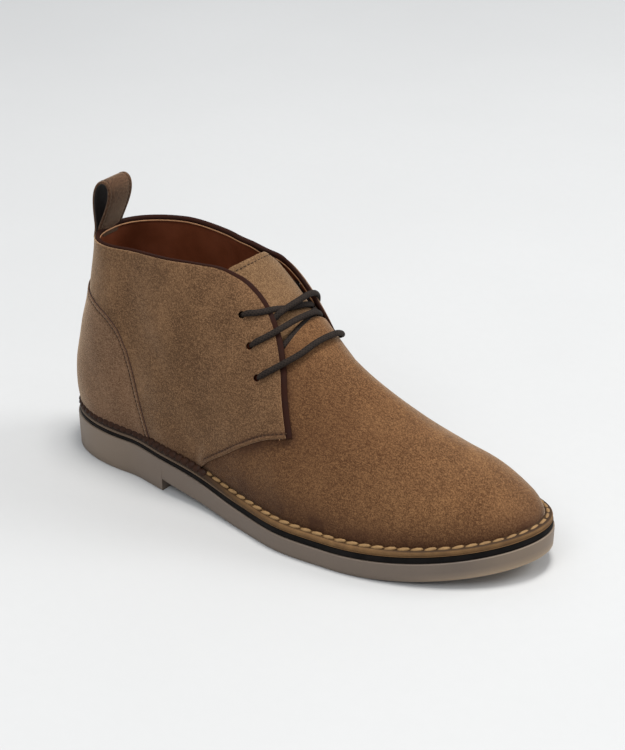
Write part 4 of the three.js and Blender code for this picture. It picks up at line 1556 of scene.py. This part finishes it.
@dataclass
class Laces:
    """Waxed flat-round lace, run through the eyelets; its ends stop inside the top ones."""

    last: Last
    shop: Workshop
    half_thickness: float = 1.3
    half_width: float = 1.75
    step: float = 0.7               # spacing of the sections

    def build(self) -> None:
        """Builds every visible run of the lace."""
        for name, route in LACE_ROUTES.items():
            route = np.array(route)
            points = self.last.skin(route[:, 0], route[:, 1], route[:, 2])
            path = Trace(points.tolist(), 600)
            share = np.linspace(0, 1, int(path.length / self.step))
            chord = lengths_along(points)
            normals = self.last.normal(route[:, 0], route[:, 1])
            out = np.stack([np.interp(share, chord / chord[-1], normals[:, k]) for k in range(3)], axis=1)

            def section(t: float, length: float = path.length) -> Array:
                """Section of the lace, drawn in where it goes through an eyelet.

                Args:
                    t: share of the run.
                    length: length of the run.

                Returns:
                    Rows of (out, across).
                """
                near = min(t, 1 - t) * length
                drawn = 0.66 + 0.34 * float(smooth((near - 2.2) / 5.5))
                return ellipse(self.half_thickness * (0.35 + 0.65 * drawn), self.half_width * drawn)

            piece = swept_object(name, path.at(share), out, section, self.shop.pick("lace_cord"), uv=True)
            put(piece, "lace_cord", *([name] if name in LACE_NODES else []))


@dataclass
class PullLoop:
    """Teardrop loop of suede ribbon, standing on the back of the collar."""

    shop: Workshop
    last: Last
    width: float = 19.6
    thickness: float = 2.0
    height: float = 30.0
    depth: float = 12.6
    foot: float = 20.3
    lean: float = 6.4
    swell: float = 0.76
    sunk: float = 5.0               # how far its ends go down into the collar
    furrow: float = 2.1             # distance of the stitch rows from the ribbon's edges

    def line(self, count: int) -> Line:
        """Middle line of the ribbon, its corners eased by averaging neighbours.

        Args:
            count: how many points.

        Returns:
            The points and the outward directions there.
        """
        base = float(self.last.collar(self.foot)) + GAP
        turn = np.linspace(0.1, 2 * math.pi - 0.1, count)
        rise = (1 - np.cos(turn)) / 2
        room = self.depth - self.thickness
        swell = self.swell * room * np.sin(turn) * np.sin(turn / 2)**2
        low = np.where(turn < math.pi, 1.0, -1.0) * self.thickness * 0.55
        swell = np.where((rise < 0.5) & (np.abs(swell) < np.abs(low)), low, swell)
        z = base - self.sunk + (self.height + self.sunk - self.thickness / 2) * rise
        x = self.foot + self.lean * (z - base) / self.height + swell
        path = np.stack([x, np.zeros_like(x), z], axis=1)
        kernel = np.ones(5) / 5
        for k in (0, 2):
            path[2:-2, k] = np.convolve(path[:, k], kernel, "valid")
        along = np.gradient(path, axis=0)
        return path, unit(np.stack([along[:, 2], np.zeros_like(x), -along[:, 0]], axis=1))

    def build(self) -> list[Line]:
        """Builds the loop.

        Returns:
            Its two rows of edge stitches, each with outward directions.
        """
        path, out = self.line(90)
        half, thick = self.width / 2, self.thickness / 2
        arm = half - np.array([0, 0.35, 0.9, 1.5, self.furrow, 2.8, half / 2])
        across = np.concatenate([-arm, [0], arm[::-1]])
        edge = half - np.abs(across)
        face = thick - 0.5 * np.clip(1 - edge / 0.9, 0, 1)**2 - 0.22 * hump(edge - self.furrow, 0.7)
        section = np.concatenate([np.stack([face, across], 1), np.stack([-face, across], 1)[::-1]])
        # the inner face takes the painted shade finish
        dark = [0] * len(across) + [1] * (len(across) - 1) + [0]
        piece = swept_object("pull_loop", path, out, section,
                             self.shop.pick("loop_suede", "painted_shade_loop_inside"), dark)
        put(piece, "suede", "pull_loop")
        rows = []
        for side in Side:
            line = path + out * (thick - 0.14)
            line[:, 1] += side.value * (half - self.furrow)
            rows.append((line[8:-8], out[8:-8]))
        return rows


# ------------------------------------------------------------------ the sole
@dataclass
class Sole:
    """Welt, midsole, moulded rubber outsole and the insole inside."""

    last: Last
    shop: Workshop
    welt_inset: float = 1.2
    welt_inner: float = 7.5
    welt_rise: float = 5.0          # top over the line
    strip: float = 1.5
    heel_line_drop: float = 1.4     # how much thinner the black line is at the heel
    spacing: float = 1.4            # of the sections along the outline

    def edge_points(self, runs: Array, inset: Array | float, height: Array | float) -> Array:
        """Points in from the sole's edge.

        Args:
            runs: runs along the edge.
            inset: distances in from it.
            height: heights above the floor.

        Returns:
            One point for each run.
        """
        plan = self.last.outline(runs, np.broadcast_to(inset, runs.shape))
        return np.concatenate([plan, np.broadcast_to(height, runs.shape)[:, None]], axis=1)

    def ring(self, name: str, profile: Callable[[Array], Rows], materials: Sequence[str],
             finishes: Sequence[int], shade: Callable[[Array], Array]) -> Piece:
        """Closed ring of one section round the sole's outline.

        Args:
            name: name of the piece.
            profile: from places along the boot, the section's (inset, height) columns.
            materials: names of the finishes.
            finishes: finish of each side of the section.
            shade: shade of a point.

        Returns:
            The ring.
        """
        half = np.arange(SEAM, TIP, self.spacing)
        runs = np.concatenate([half, [TIP], 2 * SEAM - half[:0:-1]])
        x = self.last.outline(runs, 0.0)[:, 0]
        points = np.stack([self.edge_points(runs, *row) for row in profile(x)], axis=1)
        closed = np.concatenate([points, points[:1]])
        faces = grid_faces(len(closed), points.shape[1], ring=True)
        corners = closed.reshape(-1, 3)
        return make_object(name, corners, faces, list(finishes) * (len(closed) - 1),
                           self.shop.pick(*materials), shade=shade(corners))

    def slab(self, name: str, finish: str, profile: Callable[[Array], Rows], across: int,
             runs: Array | None = None, relief: Callable[[Array, Array], Array] | None = None,
             shade: Callable[[Array], Array] | None = None) -> Piece:
        """Closed slab inside the sole's outline, its sides cut to a profile.

        Args:
            name: name of the piece.
            finish: name of its finish.
            profile: from places along the boot, the side's (inset, height) columns, from the bottom up.
            across: columns of faces over the top and underside.
            runs: places of the sections.
            relief: rise of the underside at (x, y).
            shade: how far a point goes over to its deep colour.

        Returns:
            The slab.
        """
        runs = np.linspace(SEAM, TIP, 260) if runs is None else runs
        rows = profile(self.last.outline(runs, 0.0)[:, 0])
        lateral = [self.edge_points(runs, *row) for row in rows]
        inner = [self.edge_points(2 * SEAM - runs, *row) for row in reversed(rows)]
        t = (np.arange(1, across) / across)[:, None, None]
        over = lateral[-1][None] * (1 - t) + inner[0][None] * t
        under = inner[-1][None] * (1 - t) + lateral[0][None] * t
        if relief:
            under[..., 2] += relief(under[..., 0], under[..., 1])
        points = np.concatenate([np.stack(lateral), over, np.stack(inner), under]).transpose(1, 0, 2)
        faces = grid_faces(len(points), points.shape[1], ring=True)
        corners = points.reshape(-1, 3)
        return make_object(name, corners, faces, [0] * len(faces), self.shop.pick(finish), 40,
                           shade(corners) if shade else None)

    def black_top(self, x: Array) -> Array:
        """Height of the top of the black midsole."""
        return self.last.line(x) + HALF_MIDSOLE - self.heel_line_drop * heelward(x)

    def welt(self) -> Piece:
        """Welt with its lower strip, darker round the heel.

        Returns:
            The piece.
        """
        def profile(x: Array) -> Rows:
            """Section of the welt: strip, step, side, rounded edge and top.

            Args:
                x: places along the boot.

            Returns:
                Columns of (inset, height).
            """
            low = self.black_top(x) + 0.12
            top = self.last.line(x) + self.welt_rise
            step = low + self.strip * (0.35 + 0.65 * heelward(x))
            edge, inner = self.welt_inset, self.welt_inner
            return [(inner, low), (edge + 0.1, low), (edge - 0.15, low + 0.2), (edge - 0.1, step - 0.15),
                    (edge + 0.4, step), (edge + 0.1, step + 0.3), (edge, (step + top) / 2),
                    (edge + 0.2, top - 0.7), (edge + 0.7, top - 0.15), (edge + 1.4, top),
                    (3.2, top - 0.1), (inner, top - 0.5)]

        def shade(p: Array) -> Array:
            """Darker round the heel, and painted shade in the stitched groove."""
            # painted shade in the groove where the stitches sit
            groove = smooth((p[:, 2] - self.last.line(p[:, 0]) - self.welt_rise + 0.14) / 0.1)
            return np.maximum(heelward(p[:, 0] - 25), 0.8 * groove)

        return self.ring("welt", profile, ["welt_leather", "welt_strip"],
                         [0, 1, 1, 1, 0, 0, 0, 0, 0, 0, 0, 0], shade)

    def midsole(self) -> Piece:
        """Black midsole, a rounded plate.

        Returns:
            The piece.
        """
        def profile(x: Array) -> Rows:
            """Side of the plate, as columns of (inset, height)."""
            low, top = self.last.line(x) - HALF_MIDSOLE, self.black_top(x)
            return [(1.6, low), (0.95, low + 0.15), (0.8, (low + top) / 2), (0.95, top - 0.15), (1.6, top)]

        return self.slab("midsole", "midsole_rubber", profile, 4)

    def outsole(self) -> Piece:
        """Rubber outsole with its heel, breast, waist and tread.

        Returns:
            The piece.
        """
        def profile(x: Array) -> Rows:
            """Side of the moulded unit.

            Args:
                x: places along the boot.

            Returns:
                Columns of (inset, height).
            """
            low, top = self.last.tread(x), self.last.line(x) - HALF_MIDSOLE - 0.1
            deep = top - low
            return [(1.6, low), (0.85, low + 0.12), (0.45, low + 0.6), (0.38, low + 0.25 * deep),
                    (0.25, low + 0.5 * deep), (0.12, top - 1.0), (0.2, top - 0.3), (0.7, top)]

        def shade(p: Array) -> Array:
            """Painted light low down round the toe, where light comes through the rubber, and lighter towards
            the heel.

            Args:
                p: corners of the unit.

            Returns:
                Their shades.
            """
            low = self.last.tread(p[:, 0])
            return 0.8 * smooth((p[:, 0] - 235) / 55) * fade(p[:, 2] - low - 0.8, 3.2) \
                + 0.25 * smooth((p[:, 0] - 270) / 25) + 0.2 * fade(p[:, 0] - 30, 60)

        half = np.arange(SEAM, BREAST - 0.01, self.spacing)
        breast = np.array([BREAST - 0.01, BREAST + 0.01, BREAST + 0.4])
        rest = np.linspace(BREAST + self.spacing, TIP, 190)
        return self.slab("outsole", "outsole_rubber", profile, 44, np.concatenate([half, breast, rest]),
                         self.tread, shade)

    def tread(self, x: Array, y: Array) -> Array:
        """Rise of the underside: wavy cross grooves in fields on the forepart and the heel.

        Args:
            x: places along the boot.
            y: places across it.

        Returns:
            How far the underside is cut up at each place.
        """
        middle = self.last.centre(np.clip(x, HEEL_AXIS, LENGTH))
        half = self.last.half(np.clip(x, HEEL_AXIS, LENGTH))
        wave = 0.5 + 0.5 * np.cos(2 * math.pi * (x + 3 * np.cos((y - middle) / 9)) / 8.4)
        groove = smooth((wave - 0.72) / 0.16)
        rim = smooth((0.8 - np.abs(y - middle) / np.maximum(half, 1)) / 0.06)
        field_of = smooth((x - 160) / 4) * smooth((272 - x) / 8) + smooth((x - 14) / 4) * smooth((72 - x) / 4)
        return 1.2 * groove * rim * field_of

    def insole(self) -> Piece:
        """Insole lying inside the wall.

        Returns:
            The piece.
        """
        def profile(x: Array) -> Rows:
            """Side of the insole, narrower at the toe.

            Args:
                x: places along the boot.

            Returns:
                Columns of (inset, height).
            """
            low = self.last.line(x) + HALF_MIDSOLE + GAP
            toe = np.clip((x - BALL) / (LENGTH - BALL), 0, 1)
            inset = self.last.margin(x) + WALL + 2 * GAP + 3.5 * toe**2
            return [(inset + 0.2, low), (inset, low + 0.6), (inset, low + 2.6), (inset + 0.9, low + 3.4)]

        return self.slab("insole", "insole_leather", profile, 16)

    def seat_line(self, low: float, high: float, inset: float, rise: float) -> Line:
        """Line round the top of the welt.

        Args:
            low: run that it starts at.
            high: run that it ends at.
            inset: distance in from the sole's edge.
            rise: height over the welt's top.

        Returns:
            Points of the line and the outward directions there.
        """
        runs = np.linspace(low, high, 700)
        plan, outer = self.last.outline(runs, inset), self.last.outline(runs, inset - 1.0)
        line = self.edge_points(runs, inset, self.last.line(plan[:, 0]) + self.welt_rise + rise)
        away = np.concatenate([outer - plan, np.full((len(runs), 1), 1.0)], axis=1)
        return line, unit(away)

    def build(self) -> None:
        """Builds and dresses the sole."""
        put(self.welt(), "welt_leather", "welt")
        put(self.midsole(), "midsole_rubber", "midsole")
        put(self.outsole(), "outsole_rubber", "outsole")
        put(self.insole(), "insole_leather", "insole")


# ------------------------------------------------------------------ stitches
@dataclass(frozen=True)
class StitchRow:
    """Look of a row of stitches: sizes in millimetres, slant in degrees."""

    pitch: float
    length: float
    width: float
    height: float
    finish: str
    slant: float = 0.0
    jitter: float = 3.0
    seed: int = 1


FINE_ROW = StitchRow(2.5, 2.0, 0.6, 0.45, "thread")
WELT_ROW = StitchRow(6.8, 7.0, 2.3, 2.0, "welt_thread", slant=8, jitter=4)
HEEL_ROW = StitchRow(4.5, 6.0, 4.6, 2.7, "dark_thread", slant=18, jitter=12)
WELT_FROM, HEEL_FROM = 118.0, 115.0     # runs where the chunky row starts and the heel's row ends


class Stitcher:
    """Sews rows of stitches along lines with one Geometry Nodes tree."""

    def __init__(self, shop: Workshop) -> None:
        """Builds the tree.

        Args:
            shop: the materials.
        """
        self.shop = shop
        tree = bpy.data.node_groups.new("stitch_row", "GeometryNodeTree")
        face = tree.interface
        face.new_socket("Geometry", in_out="INPUT", socket_type="NodeSocketGeometry")
        for name in ("Pitch", "Length", "Width", "Height", "Slant", "Jitter"):
            face.new_socket(name, in_out="INPUT", socket_type="NodeSocketFloat")
        face.new_socket("Seed", in_out="INPUT", socket_type="NodeSocketInt")
        face.new_socket("Material", in_out="INPUT", socket_type="NodeSocketMaterial")
        face.new_socket("Geometry", in_out="OUTPUT", socket_type="NodeSocketGeometry")
        n = Nodes(tree)
        takes = n.add("NodeGroupInput").outputs
        curve = n.add("GeometryNodeMeshToCurve", Mesh=takes["Geometry"]).outputs["Curve"]
        points = n.add("GeometryNodeResampleCurve", {"mode": "LENGTH"}, Curve=curve,
                       Length=takes["Pitch"]).outputs["Curve"]
        ball = n.add("GeometryNodeMeshUVSphere", {}, Segments=8, Rings=6, Radius=0.5).outputs["Mesh"]
        size = n.add("ShaderNodeCombineXYZ", {}, X=takes["Length"], Y=takes["Width"], Z=takes["Height"])
        stitch = n.add("GeometryNodeTransform", {}, Geometry=ball, Scale=size.outputs[0]).outputs[0]
        up = n.add("GeometryNodeInputNamedAttribute", {"data_type": "FLOAT_VECTOR"}, Name="up").outputs[0]
        tangent = n.add("GeometryNodeInputTangent").outputs[0]
        facing = n.add("FunctionNodeAlignRotationToVector", {"axis": "X"}, Vector=tangent).outputs[0]
        facing = n.add("FunctionNodeAlignRotationToVector", {"axis": "Z", "pivot_axis": "X"},
                       Rotation=facing, Vector=up).outputs[0]
        draw = n.add("FunctionNodeRandomValue", {"data_type": "FLOAT"}, i2=-1.0, i3=1.0,
                     Seed=takes["Seed"]).outputs[1]
        angle = n.math("ADD", takes["Slant"], n.math("MULTIPLY", draw, takes["Jitter"]))
        euler = n.add("ShaderNodeCombineXYZ", {}, Z=n.math("RADIANS", angle)).outputs[0]
        turned = n.add("FunctionNodeRotateRotation", {"rotation_space": "LOCAL"}, Rotation=facing)
        spin = n.add("FunctionNodeEulerToRotation", {}, Euler=euler).outputs[0]
        tree.links.new(spin, turned.inputs["Rotate By"])
        placed = n.add("GeometryNodeInstanceOnPoints", {}, Points=points, Instance=stitch,
                       Rotation=turned.outputs[0]).outputs[0]
        real = n.add("GeometryNodeRealizeInstances", {}, Geometry=placed).outputs[0]
        smooth_faces = n.add("GeometryNodeSetShadeSmooth", {}, Geometry=real).outputs[0]
        done = n.add("GeometryNodeSetMaterial", {}, Geometry=smooth_faces, Material=takes["Material"])
        n.add("NodeGroupOutput", {}, Geometry=done.outputs[0])
        self.tree = tree

    def sew(self, name: str, line: Line, row: StitchRow) -> None:
        """Sews one row.

        Args:
            name: name of the piece.
            line: points that the stitches follow, and the outward directions there.
            row: look of the row.
        """
        points, up = line
        mesh = bpy.data.meshes.new(name)
        edges = [(i, i + 1) for i in range(len(points) - 1)]
        mesh.from_pydata(to_metres(points).tolist(), edges, [])
        mesh.attributes.new("up", "FLOAT_VECTOR", "POINT").data.foreach_set(
            "vector", np.ascontiguousarray(up, np.float32).ravel())
        piece = bpy.data.objects.new(name, mesh)
        bpy.context.scene.collection.objects.link(piece)
        modifier = piece.modifiers.new("stitches", "NODES")
        modifier.node_group = self.tree
        values = {"Pitch": row.pitch * MM, "Length": row.length * MM, "Width": row.width * MM,
                  "Height": row.height * MM, "Slant": row.slant, "Jitter": row.jitter,
                  "Seed": row.seed, "Material": self.shop.pick(row.finish)[0]}
        for item in self.tree.interface.items_tree:
            if item.in_out == "INPUT" and item.name in values:
                modifier[item.identifier] = values[item.name]
        apply_modifiers(piece)
        piece.data.name = name
        put(piece, "thread")


# ------------------------------------------------------------------ the studio
@dataclass(frozen=True)
class Studio:
    """Camera, floor and soft light."""

    place: tuple[float, float, float] = (0.5592, -0.7800, 0.5425)
    azimuth: float = 34.60
    elevation: float = 24.48
    roll: float = -0.60
    lens: float = 96.4
    shift: tuple[float, float] = (-0.0184, -0.0704)

    def camera(self) -> None:
        """Makes the camera and makes it the scene's."""
        data = bpy.data.cameras.new("camera")
        data.lens = self.lens
        data.sensor_width = 36.0
        data.clip_start = 0.01
        data.shift_x, data.shift_y = self.shift
        made = bpy.data.objects.new("camera", data)
        a, e, r = (math.radians(v) for v in (self.azimuth, self.elevation, self.roll))
        back = Vector((math.sin(a) * math.cos(e), -math.cos(a) * math.cos(e), math.sin(e)))
        right = Vector((math.cos(a), math.sin(a), 0.0))
        up = back.cross(right)
        level_right = math.cos(r) * right + math.sin(r) * up
        level_up = math.cos(r) * up - math.sin(r) * right
        turn = Matrix((level_right, level_up, back)).transposed()
        made.matrix_world = Matrix.Translation(self.place) @ turn.to_4x4()
        bpy.context.scene.collection.objects.link(made)
        bpy.context.scene.camera = made

    def light(self, name: str, place: tuple[float, float, float], size: float, watts: float,
              colour: Colour = (255, 255, 255)) -> None:
        """Adds a square area light that looks at the boot.

        Args:
            name: name of the light.
            place: where it hangs, in metres.
            size: length of its sides, in metres.
            watts: its power.
            colour: its sRGB colour, 0 to 255.
        """
        data = bpy.data.lights.new(name, "AREA")
        data.size = size
        data.energy = watts
        data.color = rgba(colour)[:3]
        made = bpy.data.objects.new(name, data)
        turn = (Vector(place) - Vector((0, 0, 0.05))).to_track_quat("Z", "Y").to_matrix()
        made.matrix_world = Matrix.Translation(place) @ turn.to_4x4()
        bpy.context.scene.collection.objects.link(made)

    def dress(self, shop: Workshop) -> None:
        """Lays the floor and hangs the lights.

        Args:
            shop: the materials.
        """
        half = 6.0
        mesh = bpy.data.meshes.new("floor")
        mesh.from_pydata([(-half, -half, 0), (half, -half, 0), (half, half, 0), (-half, half, 0)], [],
                         [(0, 1, 2, 3)])
        mesh.materials.append(shop.pick("floor")[0])
        floor = bpy.data.objects.new("floor", mesh)
        bpy.context.scene.collection.objects.link(floor)
        world = bpy.data.worlds.new("studio")
        world.use_nodes = True
        world.node_tree.nodes["Background"].inputs[0].default_value = rgba((236, 240, 246))
        world.node_tree.nodes["Background"].inputs[1].default_value = 0.55
        bpy.context.scene.world = world
        bpy.context.scene.view_settings.view_transform = "Standard"
        self.light("key", (0.24, 0.16, 2.4), 0.6, 41.0, (255, 252, 248))
        self.light("front", (0.1, -1.6, 1.9), 1.3, 18.0)
        self.light("side", (1.7, 1.5, 1.7), 1.2, 31.0)


def main() -> None:
    """Builds the boot piece by piece."""
    logging.basicConfig(level=logging.INFO, format="%(name)s: %(message)s")
    studio = Studio()
    studio.camera()
    shop = Workshop()
    studio.dress(shop)
    last = Last()
    sole = Sole(last, shop)
    sole.build()
    upper = Upper(last, shop)
    upper.build()
    tongue_line = Tongue(last, shop).build()
    Laces(last, shop).build()
    loop_rows = PullLoop(shop, last).build()
    fine = {"counter_stitches": upper.rows["counter"],
            "lateral_seam_stitches": upper.seam_line(Side.LATERAL),
            "medial_seam_stitches": upper.seam_line(Side.MEDIAL),
            "tongue_stitches": tongue_line,
            "loop_stitches_1": loop_rows[0], "loop_stitches_2": loop_rows[1]}
    end, inner_end = TIP - 0.5, 2 * SEAM - TIP + 0.5
    chunky = {"welt_stitches": sole.seat_line(WELT_FROM, end, 3.7, 0.25),
              "welt_stitches_inner": sole.seat_line(inner_end, 2 * SEAM - WELT_FROM, 3.7, 0.25)}
    heel = {"heel_stitches": sole.seat_line(2 * SEAM - HEEL_FROM, HEEL_FROM, 2.3, -0.1)}
    stitcher = Stitcher(shop)
    for lines, row in ((fine, FINE_ROW), (chunky, WELT_ROW), (heel, HEEL_ROW)):
        for name, line in lines.items():
            stitcher.sew(name, line, row)


if __name__ == "__main__":
    main()
